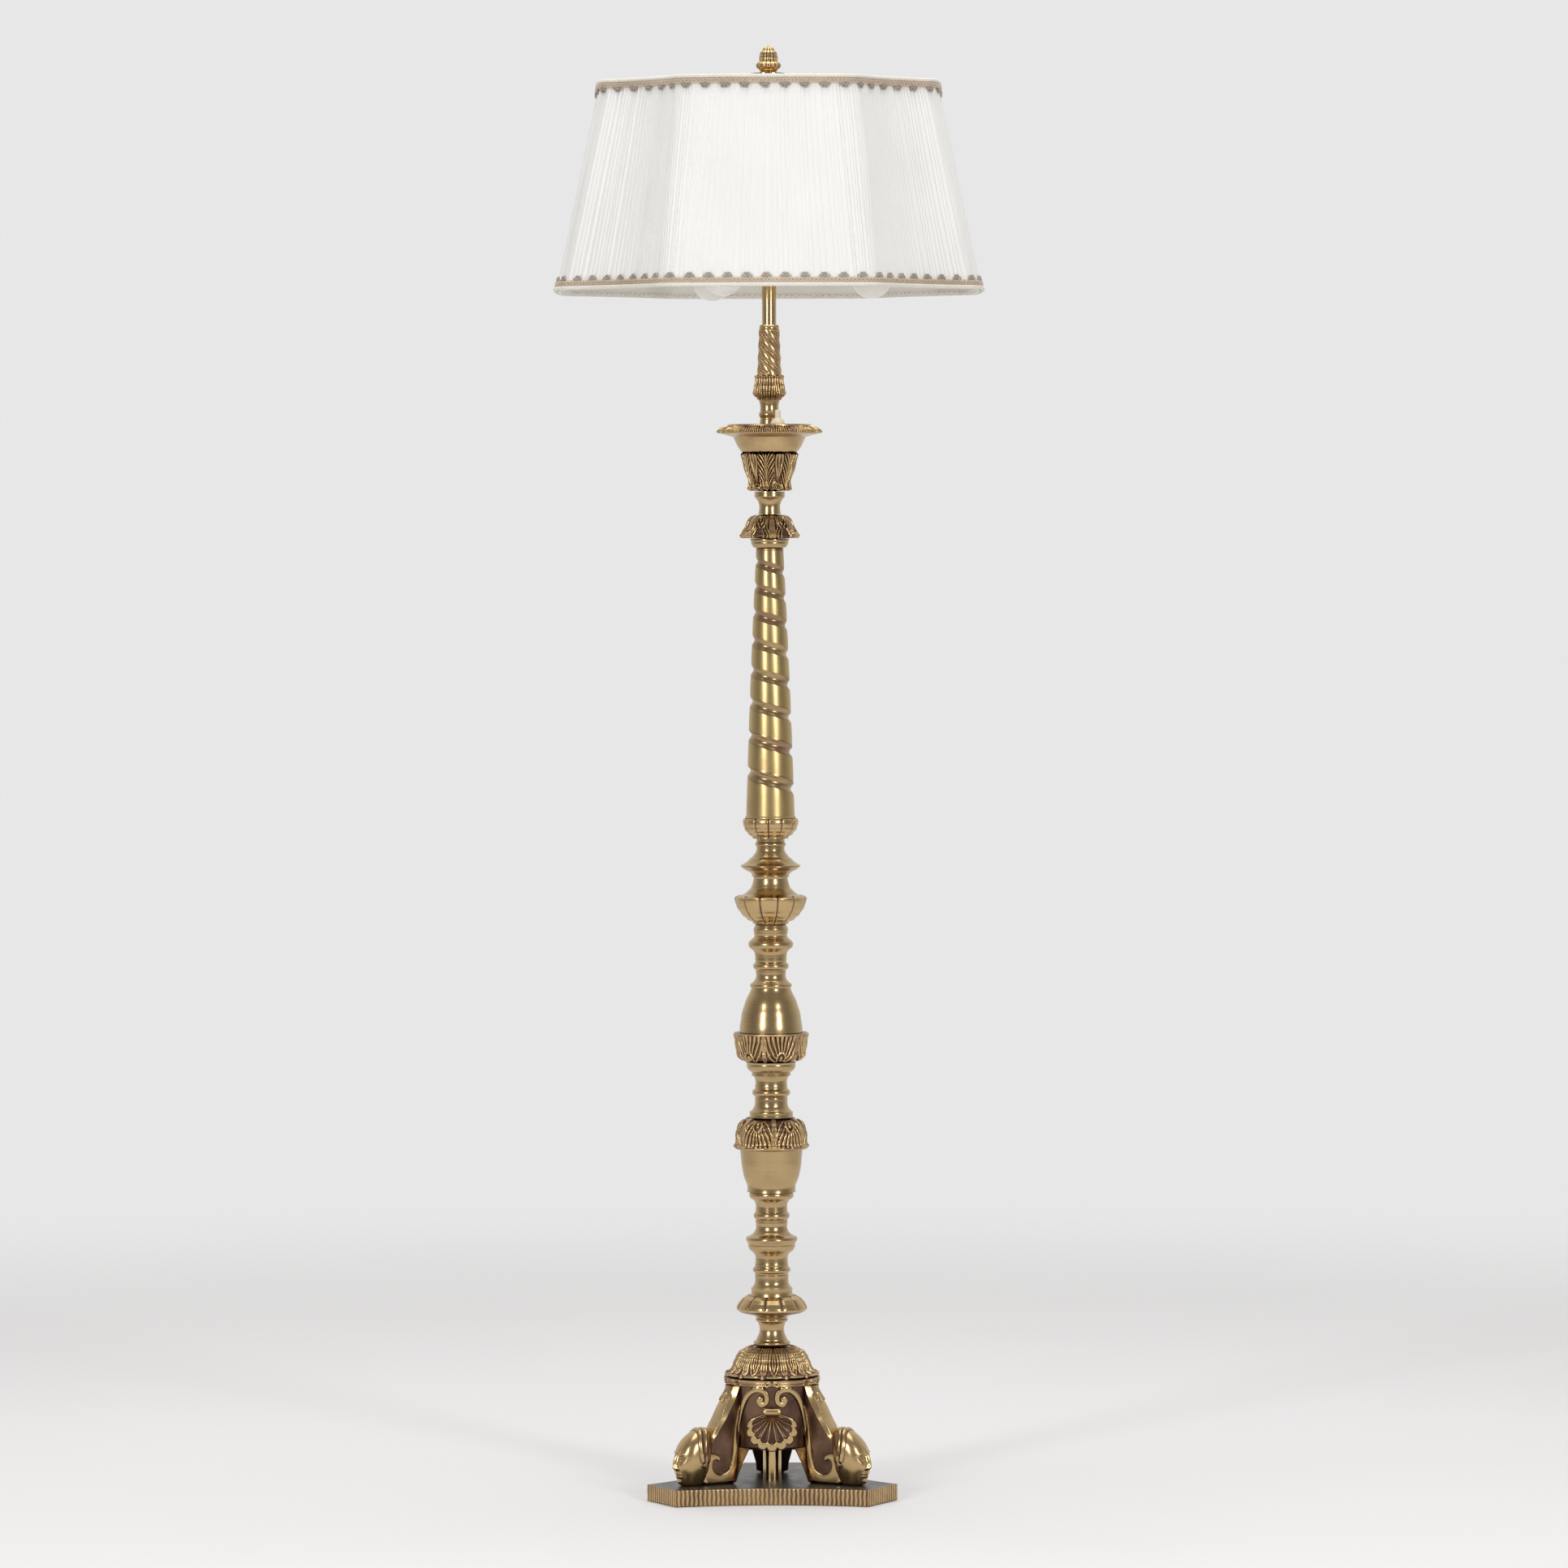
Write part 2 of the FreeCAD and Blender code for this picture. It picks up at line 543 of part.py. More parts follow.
def lock_nut():
    """Hexagonal nut on the rod, in the recess under the plate."""
    body = new_body("base_lock_nut")
    sketch = new_sketch(body, "nut_outline", "XY_Plane")
    across = size("nut_across_flats") / math.sqrt(3)
    points = []
    for corner in range(6):
        turn = 60 * corner
        rule = cell("nut_across_flats") + " / sqrt(3) * %s(%d deg)"
        points.append((across * math.cos(math.radians(turn)), rule % ("cos", turn),
                       across * math.sin(math.radians(turn)), rule % ("sin", turn)))
    outline(sketch, points)
    bore = size("rod_diameter") / 2 + size("rod_clearance")
    hole = sketch.addGeometry(Part.Circle(V(0, 0, 0), UP, bore), False)
    place(sketch, hole, 3, "hole", (0.0, "0"), (0.0, "0"))
    bind(sketch, Sketcher.Constraint("Radius", hole, bore), "hole",
         "%s / 2 + %s" % (cell("rod_diameter"), cell("rod_clearance")))
    pad = body.newObject("PartDesign::Pad", "nut_pad")
    pad.Profile = sketch
    pad.setExpression("Length", cell("nut_thickness"))
    sketch.Visibility = False
    body.Tip = pad
    stand(body, "%s - %s - %s" % (cell("plate_recess_depth"), cell("washer_thickness"),
                                  cell("nut_thickness")))
    return body


def sleeve(label, diameter, bore, rise, base):
    """A bored cylinder whose sizes and height above the floor are expressions."""
    values = [float(sheet.evalExpression(text)) for text in (diameter, bore, rise)]
    body = bored_cylinder(label, diameter, bore, rise, *values)
    stand(body, base)
    return body


def tripod_casting():
    """Crown bell with a deck for the rod, and three legs with a round hook behind each heel."""
    body = new_body("tripod_casting")
    crown = new_sketch(body, "crown_profile")
    rise = (size("tripod_rise"), cell("tripod_rise"))
    foot = (size("tripod_rise") - size("crown_drop"),
            "%s - %s" % (cell("tripod_rise"), cell("crown_drop")))
    under = (size("tripod_rise") - size("crown_deck"),
             "%s - %s" % (cell("tripod_rise"), cell("crown_deck")))
    bore = (size("rod_diameter") / 2 + size("rod_clearance"),
            "%s / 2 + %s" % (cell("rod_diameter"), cell("rod_clearance")))
    wall = size("crown_wall")
    top_outer = (size("crown_top_diameter") / 2, cell("crown_top_diameter") + " / 2")
    foot_outer = (size("crown_foot_diameter") / 2, cell("crown_foot_diameter") + " / 2")
    top_inner = (top_outer[0] - wall, "%s - %s" % (top_outer[1], cell("crown_wall")))
    foot_inner = (foot_outer[0] - wall, "%s - %s" % (foot_outer[1], cell("crown_wall")))
    outline(crown, [bore + under, top_inner + under, foot_inner + foot, foot_outer + foot,
                    top_outer + rise, bore + rise])
    revolve(body, crown, "crown_turning")
    leg = new_sketch(body, "leg_profile")
    inside = (size("leg_inside_reach"), cell("leg_inside_reach"))
    points = [
        (size("leg_foot_inside"), cell("leg_foot_inside"), 0.0, "0"),
        (size("leg_foot_outside"), cell("leg_foot_outside"), 0.0, "0"),
        (size("leg_foot_outside"), cell("leg_foot_outside"), size("leg_heel_rise"),
         cell("leg_heel_rise")),
        (size("leg_knee_reach"), cell("leg_knee_reach"), size("leg_knee_rise"),
         cell("leg_knee_rise")),
        (size("leg_shoulder_reach"), cell("leg_shoulder_reach")) + rise,
        inside + rise,
        inside + (size("leg_inside_rise"), cell("leg_inside_rise"))]
    outline(leg, points, {3: (size("leg_calf_hollow"), cell("leg_calf_hollow")),
                          6: (-size("leg_arch_hollow"), cell("leg_arch_hollow"))})
    leg_pad = body.newObject("PartDesign::Pad", "leg_pad")
    leg_pad.Profile = leg
    leg_pad.Midplane = True
    leg_pad.setExpression("Length", cell("leg_thickness"))
    leg.Visibility = False
    hook = new_sketch(body, "hook_profile")
    for tag, alias in (("rim", "hook_diameter"), ("eye", "hook_hollow")):
        circle = hook.addGeometry(Part.Circle(V(0, 0, 0), UP, size(alias) / 2), False)
        place(hook, circle, 3, tag, (size("hook_reach"), cell("hook_reach")),
              (size("hook_rise"), cell("hook_rise")))
        bind(hook, Sketcher.Constraint("Radius", circle, size(alias) / 2), tag,
             cell(alias) + " / 2")
    hook_pad = body.newObject("PartDesign::Pad", "hook_pad")
    hook_pad.Profile = hook
    hook_pad.Midplane = True
    hook_pad.setExpression("Length", "%s + 2 * %s" % (cell("leg_thickness"), cell("hook_proud")))
    hook.Visibility = False
    pattern = body.newObject("PartDesign::PolarPattern", "three_legs")
    pattern.Originals = [leg_pad, hook_pad]
    pattern.Axis = (crown, ["V_Axis"])
    pattern.Angle = 360
    pattern.Occurrences = len(LEG_BEARINGS)
    body.Tip = pattern
    turn_about(body, LEG_BEARINGS[0])
    stand(body, cell("plate_thickness"))
    return body


def ring_of(label, item, bearings, base):
    """Turn copies of one solid about the lamp's axis into one group of separate solids."""
    doc.recompute()
    copies = []
    for bearing in bearings:
        copy = item.Shape.copy()
        copy.rotate(V(0, 0, 0), UP, bearing)
        copies.append(copy)
    group = doc.addObject("Part::Feature", label)
    group.Shape = Part.makeCompound(copies)
    group.Label = label
    if base:
        stand(group, base)
    return group


def ellipsoid(name, across, along, upright, centre):
    """Ellipsoid with three half sizes and a centre, each an expression."""
    item = doc.addObject("Part::Ellipsoid", name)
    item.setExpression("Radius1", upright)
    item.setExpression("Radius2", across)
    item.setExpression("Radius3", along)
    for axis, rule in zip("xyz", centre):
        if rule != "0":
            item.setExpression(".Placement.Base." + axis, rule)
    return item


def foot_masks():
    """Three plain heads that look outwards along the legs: skull, jaw, nose and a rolled hood."""
    rise, width, depth = cell("head_rise"), cell("head_width"), cell("head_depth")
    forms = []
    for name, (deep, wide, tall, forward, up) in HEAD_FORMS.items():
        forms.append(ellipsoid(name, "%s * %g" % (depth, deep), "%s * %g" % (width, wide),
                               "%s * %g" % (rise, tall),
                               ("%s * %g" % (depth, forward), "0", "%s * %g" % (rise, up))))
    hood = doc.addObject("Part::Torus", "hood")
    hood.setExpression("Radius1", width + " * 0.5 - " + cell("hood_roll") + " * 0.4")
    hood.setExpression("Radius2", cell("hood_roll"))
    hood.Placement = FreeCAD.Placement(V(0, 0, 0), FreeCAD.Rotation(V(0, 1, 0), 90))
    hood.setExpression(".Placement.Base.x", cell("hood_roll") + " * 1.05")
    hood.setExpression(".Placement.Base.z", rise + " - " + width + " * 0.5 - " +
                       cell("hood_roll") + " * 0.6")
    whole = doc.addObject("Part::MultiFuse", "whole_head")
    whole.Shapes = forms + [hood]
    trim = doc.addObject("Part::Box", "head_bounds")
    trim.setExpression("Length", depth + " * 1.2")
    trim.setExpression("Width", width + " * 1.2")
    trim.setExpression("Height", rise + " * 1.1")
    trim.setExpression(".Placement.Base.y", width + " * -0.6")
    head = doc.addObject("Part::Common", "one_head")
    head.Base = whole
    head.Tool = trim
    head.setExpression(".Placement.Base.x", cell("leg_foot_outside") + " + " + cell("head_gap"))
    return ring_of("foot_masks", head, LEG_BEARINGS, cell("plate_thickness"))


def shell_panels():
    """Scalloped shells in front of the crown, one over each arch."""
    body = new_body("one_shell")
    sketch = new_sketch(body, "shell_outline")
    lobes = int(size("shell_lobes"))
    width, rise = size("shell_width"), size("shell_rise")
    first, last = -210.0, 30.0
    points = []
    for index in range(lobes + 1):
        turn = first + (last - first) * index / lobes
        x_value = size("shell_span_share") * width * math.cos(math.radians(turn))
        y_value = size("shell_fall_share") * rise * math.sin(math.radians(turn))
        points.append((x_value, "%s * %s * cos(%g deg)" % (
            cell("shell_span_share"), cell("shell_width"), turn),
                       y_value, "%s * %s * sin(%g deg)" % (
            cell("shell_fall_share"), cell("shell_rise"), turn)))
    swell = (size("shell_swell_share") * width,
             cell("shell_swell_share") + " * " + cell("shell_width"))
    outline(sketch, points, {index: swell for index in range(lobes)})
    pad = body.newObject("PartDesign::Pad", "shell_pad")
    pad.Profile = sketch
    pad.setExpression("Length", "%s / 2 + %s + %s" % (
        cell("crown_top_diameter"), cell("shell_gap"), cell("shell_thickness")))
    sketch.Visibility = False
    inner = new_sketch(body, "shell_back")
    slope = (size("crown_top_diameter") - size("crown_foot_diameter")) / 2 / size("crown_drop")
    slope_rule = "(%s - %s) / 2 / %s" % (
        cell("crown_top_diameter"), cell("crown_foot_diameter"), cell("crown_drop"))
    sides = []
    for share in (-1, 1):
        up = (share * rise, "%d * %s" % (share, cell("shell_rise")))
        above_foot = (share + size("shell_centre_share")) * rise - size("shell_drop")
        above_rule = "((%d + %s) * %s - %s)" % (share, cell("shell_centre_share"),
                                                cell("shell_rise"), cell("shell_drop"))
        seat = (size("crown_foot_diameter") / 2 + slope * above_foot + size("shell_gap"),
                "%s / 2 + %s * %s + %s" % (cell("crown_foot_diameter"), slope_rule, above_rule,
                                           cell("shell_gap")))
        sides.append(((0.0, "0") + up, seat + up))
    (axis_low, seat_low), (axis_high, seat_high) = sides
    outline(inner, [axis_low, seat_low, seat_high, axis_high])
    revolve(body, inner, "shell_hollow", "PartDesign::Groove")
    base = "%s + %s - %s + %s * %s - %s" % (
        cell("plate_thickness"), cell("tripod_rise"), cell("crown_drop"),
        cell("shell_centre_share"), cell("shell_rise"), cell("shell_drop"))
    group = ring_of("shell_panels", body, [bearing + 90 for bearing in FACE_BEARINGS], base)
    return group


# ---------------------------------------------------------------- column, rope and switch
def spiral_column():
    """Tapered shaft with one left-handed groove wound round it."""
    blank = turned("spiral_column")
    blank.Label = "spiral_column_blank"
    doc.recompute()
    foot = size("spiral_column_foot_ring_diameter") / 2
    top = size("spiral_column_shaft_diameter") / 2
    low = size("spiral_column_foot_ring_rise")
    rise = size("spiral_column_shaft_rise")
    groove = size("spiral_groove_radius")
    offset = groove - size("spiral_groove_depth")
    taper = math.degrees(math.atan2(foot - top, rise))
    helix = Part.makeHelix(rise / size("spiral_turns"), rise, top + offset, taper, True)
    path = Part.Wire(helix.Edges)
    start = path.Vertexes[0].Point
    circle = Part.makeCircle(groove, start, V(0, 1, 0))
    cutter = path.makePipeShell([Part.Wire(circle)], True, True)
    cutter.rotate(V(0, 0, 0), V(1, 0, 0), 180)
    cutter.translate(V(0, 0, low + rise))
    column = doc.addObject("Part::Feature", "spiral_column")
    column.Shape = blank.Shape.cut(cutter)
    column.Label = "spiral_column"
    return column


def rope_sleeve():
    """Sleeve of twisted strands, tapering upwards, left handed."""
    strands = int(size("rope_strands"))
    rise, twist = size("rope_rise"), size("rope_twist")
    depth = size("rope_strand_depth")
    steps = max(8, math.ceil(twist / (120.0 / strands)))
    rings = []
    for step in range(steps + 1):
        share = step / steps
        crest = (size("rope_foot_diameter") * (1 - share) + size("rope_top_diameter") * share) / 2
        arcs = []
        for strand in range(strands):
            corners = []
            for part_of_turn, radius in ((0, crest - depth), (0.5, crest), (1, crest - depth)):
                turn = math.radians(360.0 * (strand + part_of_turn) / strands - twist * share)
                corners.append(V(radius * math.cos(turn), radius * math.sin(turn), rise * share))
            arcs.append(Part.Arc(*corners).toShape())
        rings.append(Part.Wire(arcs))
    bore = size("rod_diameter") / 2 + size("rod_clearance")
    sleeve_shape = Part.makeLoft(rings, True, False)
    rope = doc.addObject("Part::Feature", "rope_sleeve")
    rope.Shape = sleeve_shape.cut(Part.makeCylinder(bore, rise))
    rope.Label = "rope_sleeve"
    return rope


def drip_pan():
    """Drip pan, dished from above round the stem's foot."""
    body = turned("drip_pan")
    sketch = new_sketch(body, "pan_dish")
    total = rises("drip_pan")
    top = (rise_value("drip_pan"), total)
    floor = (top[0] - size("pan_dish_depth"), "%s - %s" % (total, cell("pan_dish_depth")))
    edge = (size("pan_dish_diameter") / 2, cell("pan_dish_diameter") + " / 2")
    outline(sketch, [(0.0, "0") + floor, edge + floor, edge + top, (0.0, "0") + top],
            {1: (size("pan_dish_round"), cell("pan_dish_round"))})
    revolve(body, sketch, "pan_dishing", "PartDesign::Groove")
    return body


def switch_pieces(floor):
    """Cream push switch that stands in the pan, and its button."""
    clearance = cell("switch_clearance")
    bore = (size("switch_button_diameter") / 2 + size("switch_clearance"),
            "%s / 2 + %s" % (cell("switch_button_diameter"), clearance))
    foot = (size("switch_body_diameter") / 2, cell("switch_body_diameter") + " / 2")
    shoulder = (size("switch_body_rise") / 3, cell("switch_body_rise") + " / 3")
    top = (size("switch_body_rise"), cell("switch_body_rise"))
    lip = (bore[0] + size("switch_lip"), "%s + %s" % (bore[1], cell("switch_lip")))
    body = new_body("switch_body")
    sketch = new_sketch(body, "switch_profile")
    outline(sketch, [bore + (0.0, "0"), foot + (0.0, "0"), foot + shoulder, lip + top, bore + top],
            {2: (size("switch_shoulder"), cell("switch_shoulder"))})
    revolve(body, sketch, "switch_turning")
    button = new_body("switch_button")
    profile = new_sketch(button, "button_profile")
    edge = (size("switch_button_diameter") / 2, cell("switch_button_diameter") + " / 2")
    length = "%s + %s" % (cell("switch_button_rise"), cell("switch_button_seat"))
    length_value = size("switch_button_rise") + size("switch_button_seat")
    crown = (length_value - edge[0] / 3, "%s - %s / 3" % (length, edge[1]))
    dome = (edge[0] / 2, edge[1] + " / 2")
    outline(profile, [(0.0, "0", 0.0, "0"), edge + (0.0, "0"), edge + crown,
                      dome + (length_value, length), (0.0, "0", length_value, length)],
            {2: (edge[0] / 12, edge[1] + " / 12")})
    revolve(button, profile, "button_turning")
    for item, base in ((body, floor), (button, "%s + %s - %s" % (
            floor, cell("switch_body_rise"), cell("switch_button_seat")))):
        item.setExpression(".Placement.Base.x", "%s * cos(%s * 1 deg)" % (
            cell("switch_offset"), cell("switch_bearing")))
        item.setExpression(".Placement.Base.y", "-%s * sin(%s * 1 deg)" % (
            cell("switch_offset"), cell("switch_bearing")))
        stand(item, base)
    return [body, button]


# ---------------------------------------------------------------- lamp cluster
def cluster_bearings():
    return [size("cluster_bearing") + 120 * index for index in range(3)]


def cluster_arms(hub_foot):
    """Three tubes that leave the hub level and bend down to their lampholders."""
    body = new_body("one_arm")
    path = new_sketch(body, "arm_path")
    start = (size("cluster_hub_body_diameter") / 2, cell("cluster_hub_body_diameter") + " / 2")
    bend = (size("cluster_radius") - size("arm_bend"),
            "%s - %s" % (cell("cluster_radius"), cell("arm_bend")))
    reach = (size("cluster_radius"), cell("cluster_radius"))
    below = (-size("arm_bend"), "-" + cell("arm_bend"))
    end = (-size("arm_bend") - size("holder_below_arm"),
           "-%s - %s" % (cell("arm_bend"), cell("holder_below_arm")))
    level = path.addGeometry(Part.LineSegment(V(start[0], 0, 0), V(bend[0], 0, 0)), False)
    turn = path.addGeometry(Part.ArcOfCircle(
        Part.Circle(V(bend[0], below[0], 0), UP, size("arm_bend")), 0, math.pi / 2), False)
    drop = path.addGeometry(Part.LineSegment(V(reach[0], below[0], 0), V(reach[0], end[0], 0)), False)
    path.addConstraint(Sketcher.Constraint("Coincident", level, 2, turn, 2))
    path.addConstraint(Sketcher.Constraint("Coincident", turn, 1, drop, 1))
    place(path, level, 1, "start", start, (0.0, "0"))
    place(path, level, 2, "bend", bend, (0.0, "0"))
    path.addConstraint(Sketcher.Constraint("Vertical", level, 2, turn, 3))
    place(path, drop, 1, "below", reach, below)
    place(path, drop, 2, "end", reach, end)
    profile = new_sketch(body, "arm_section", "YZ_Plane")
    profile.setExpression(".AttachmentOffset.Base.z", start[1])
    for tag, alias in (("skin", "arm_diameter"), ("bore", "arm_bore")):
        circle = profile.addGeometry(Part.Circle(V(0, 0, 0), UP, size(alias) / 2), False)
        place(profile, circle, 3, tag, (0.0, "0"), (0.0, "0"))
        bind(profile, Sketcher.Constraint("Radius", circle, size(alias) / 2), tag,
             cell(alias) + " / 2")
    pipe = body.newObject("PartDesign::AdditivePipe", "arm_pipe")
    pipe.Profile = profile
    pipe.Spine = (path, ["Edge1", "Edge2", "Edge3"])
    path.Visibility = False
    profile.Visibility = False
    body.Tip = pipe
    return ring_of("cluster_arms", body, cluster_bearings(), hub_foot + " + " +
                   cell("arm_above_hub_foot"))


def lamp_holders(holder_foot):
    """Three sleeves, open below round the lamp's neck, with the screw socket above."""
    body = new_body("one_holder")
    sketch = new_sketch(body, "holder_profile")
    skin = (size("holder_diameter") / 2, cell("holder_diameter") + " / 2")
    inside = (skin[0] - size("holder_wall"), "%s - %s" % (skin[1], cell("holder_wall")))
    bore = (size("cap_diameter") / 2 + size("cap_clearance"),
            "%s / 2 + %s" % (cell("cap_diameter"), cell("cap_clearance")))
    skirt = (size("holder_skirt"), cell("holder_skirt"))
    seat = (skirt[0] + size("socket_depth"), "%s + %s" % (skirt[1], cell("socket_depth")))
    top = (size("holder_rise"), cell("holder_rise"))
    outline(sketch, [inside + (0.0, "0"), skin + (0.0, "0"), skin + top, (0.0, "0") + top,
                     (0.0, "0") + seat, bore + seat, bore + skirt, inside + skirt])
    revolve(body, sketch, "holder_turning")
    body.setExpression(".Placement.Base.x", cell("cluster_radius"))
    return ring_of("lamp_holders", body, cluster_bearings(), holder_foot)


def opal_bulb(index, bulb_foot):
    """Opal globe lamp hanging cap upwards: globe, neck and screw cap."""
    name = "opal_bulb_%d" % index
    body = new_body(name)
    sketch = new_sketch(body, name + "_profile")
    globe = size("bulb_diameter") / 2
    globe_rule = cell("bulb_diameter") + " / 2"
    neck = (size("bulb_neck_diameter") / 2, cell("bulb_neck_diameter") + " / 2")
    neck_rise = math.sqrt(globe ** 2 - neck[0] ** 2)
    neck_rule = "sqrt((%s)^2 - (%s)^2)" % (globe_rule, neck[1])
    cap = (size("cap_diameter") / 2, cell("cap_diameter") + " / 2")
    top = (size("bulb_length"), cell("bulb_length"))
    cap_foot = (top[0] - size("cap_rise"), "%s - %s" % (top[1], cell("cap_rise")))
    half_turn = math.atan2(neck_rise, neck[0]) / 2
    half_rule = "acos((%s) / (%s)) / 2" % (neck[1], globe_rule)
    outline(sketch, [
        (0.0, "0", 0.0, "0"),
        (globe, globe_rule, globe, globe_rule),
        neck + (globe + neck_rise, "%s + %s" % (globe_rule, neck_rule)),
        (neck[0] * 0.86, neck[1] + " * 0.86") + cap_foot,
        cap + cap_foot,
        cap + top,
        (0.0, "0") + top],
        {0: (globe * (1 - math.cos(math.pi / 4)), "%s * (1 - cos(45 deg))" % globe_rule),
         1: (globe * (1 - math.cos(half_turn)), "%s * (1 - cos(%s))" % (globe_rule, half_rule))})
    revolve(body, sketch, name + "_turning")
    body.setExpression(".Placement.Base.x", "%s * cos(%s * 1 deg + %d deg)" % (
        cell("cluster_radius"), cell("cluster_bearing"), 120 * (index - 1)))
    body.setExpression(".Placement.Base.y", "%s * sin(%s * 1 deg + %d deg)" % (
        cell("cluster_radius"), cell("cluster_bearing"), 120 * (index - 1)))
    stand(body, bulb_foot)
    return body


# ---------------------------------------------------------------- shade
def shade_corners(reach, face):
    """The eight corners of the plan, a square with its own corners cut off."""
    return [V(face, -reach), V(reach, -face), V(reach, face), V(face, reach),
            V(-face, reach), V(-reach, face), V(-reach, -face), V(-face, -reach)]


def shade_ring(share, inset):
    """Plan outline at a share of the shade's height, drawn in from the skin by inset."""
    reach = size("shade_foot_reach") + (size("shade_top_reach") - size("shade_foot_reach")) * share
    face = size("shade_foot_face") + (size("shade_top_face") - size("shade_foot_face")) * share
    level = size("shade_rise") * share
    corners = shade_corners(reach - inset, face - inset * math.tan(math.pi / 8))
    soft = size("shade_corner_softness")
    hollow, bow = size("shade_corner_hollow"), size("shade_face_bow")
    ends = []
    for index, corner in enumerate(corners):
        back = (corners[index - 1] - corner).normalize()
        ahead = (corners[(index + 1) % 8] - corner).normalize()
        ends.append((corner + back * soft, corner + ahead * soft))
    edges = []
    for index in range(8):
        corner = corners[index]
        enter, leave = ends[index]
        middle = (enter + leave) * 0.25 + corner * 0.5
        edges.append((enter, middle, leave))
        following = ends[(index + 1) % 8][0]
        side = following - leave
        outwards = V(side.y, -side.x, 0).normalize()
        stand_off = -hollow if index % 2 == 0 else bow
        edges.append((leave, (leave + following) * 0.5 + outwards * stand_off, following))
    lift = V(0, 0, level)
    return Part.Wire([Part.Arc(*(point + lift for point in edge)).toShape() for edge in edges])


def shade_shell(outer, thickness, low=0.0, high=1.0):
    """A hollow layer of the shade between two insets and two shares of its height."""
    skin = Part.makeLoft([shade_ring(low, outer), shade_ring(high, outer)], True, True)
    inside = Part.makeLoft([shade_ring(low, outer + thickness),
                            shade_ring(high, outer + thickness)], True, True)
    return skin.cut(inside)


def shade_part(label, shape):
    """A finished piece of the shade, standing at the shade's foot."""
    piece = doc.addObject("Part::Feature", label)
    piece.Shape = shape
    piece.Label = label
    stand(piece, cell("shade_foot"))
    return piece


def strut(start, end, radius):
    run = end - start
    return Part.makeCylinder(radius, run.Length, start, run)


def shade_frame():
    """Wire frame between cover and lining: two plan rings joined by eight ribs."""
    wire = size("frame_wire")
    inset = size("cover_thickness") + size("layer_gap")
    rise = size("shade_rise")
    share = wire / rise
    pieces = [shade_shell(inset, wire, 1 - share, 1.0)]
    middle = inset + wire / 2
    foot = shade_corners(size("shade_foot_reach") - middle, size("shade_foot_face") - middle / 2)
    top = shade_corners(size("shade_top_reach") - middle, size("shade_top_face") - middle / 2)
    pull = size("shade_corner_softness") * 0.18
    for low, high in zip(foot, top):
        begin = low * (1 - pull / low.Length) + V(0, 0, wire / 2)
        finish = high * (1 - pull / high.Length) + V(0, 0, rise - wire / 2)
        pieces.append(strut(begin, finish, wire * 0.45))
    return shade_part("shade_frame", shade_shell(inset, wire, 0.0, share).fuse(pieces))


def shade_spider():
    """Bored hub with four arms that reach the top ring over the lining's edge."""
    wire = size("frame_wire")
    rise = size("shade_rise")
    hub_foot = rise + size("spider_rise") - size("spider_hub_thickness")
    bore = size("rod_diameter") / 2 + size("spider_clearance")
    hub_radius = size("spider_hub_diameter") / 2
    inset = size("cover_thickness") + size("layer_gap") + wire
    reach = size("shade_top_reach") - inset + size("shade_face_bow") - size("layer_gap")
    arms = []
    for bearing in (0, 90, 180, 270):
        turn = math.radians(bearing)
        outwards = V(math.cos(turn), math.sin(turn), 0)
        arms.append(strut(outwards * (hub_radius - wire) + V(0, 0, hub_foot + wire / 2),
                          outwards * reach + V(0, 0, rise - wire / 2), wire * 0.45))
    hub = Part.makeCylinder(hub_radius, size("spider_hub_thickness"), V(0, 0, hub_foot))
    hole = Part.makeCylinder(bore, 3 * size("spider_hub_thickness"),
                             V(0, 0, hub_foot - size("spider_hub_thickness")))
    return shade_part("shade_spider", hub.fuse(arms).cut(hole))


def shade_pieces():
    """Frame, spider, pleated cover, lining and the two braids."""
    inner = size("cover_thickness") + 2 * size("layer_gap") + size("frame_wire")
    braid = -size("trim_thickness") - size("layer_gap")
    share = size("trim_width") / size("shade_rise")
    lining_top = 1 - size("frame_wire") / size("shade_rise")
    lining = shade_shell(inner, size("lining_thickness"), 0.0, lining_top)
    return [
        shade_frame(),
        shade_spider(),
        shade_part("shade_cover", shade_shell(0.0, size("cover_thickness"))),
        shade_part("shade_lining", lining),
        shade_part("bottom_braid", shade_shell(braid, size("trim_thickness"), 0.0, share)),
        shade_part("top_braid", shade_shell(braid, size("trim_thickness"), 1 - share, 1.0)),
    ]


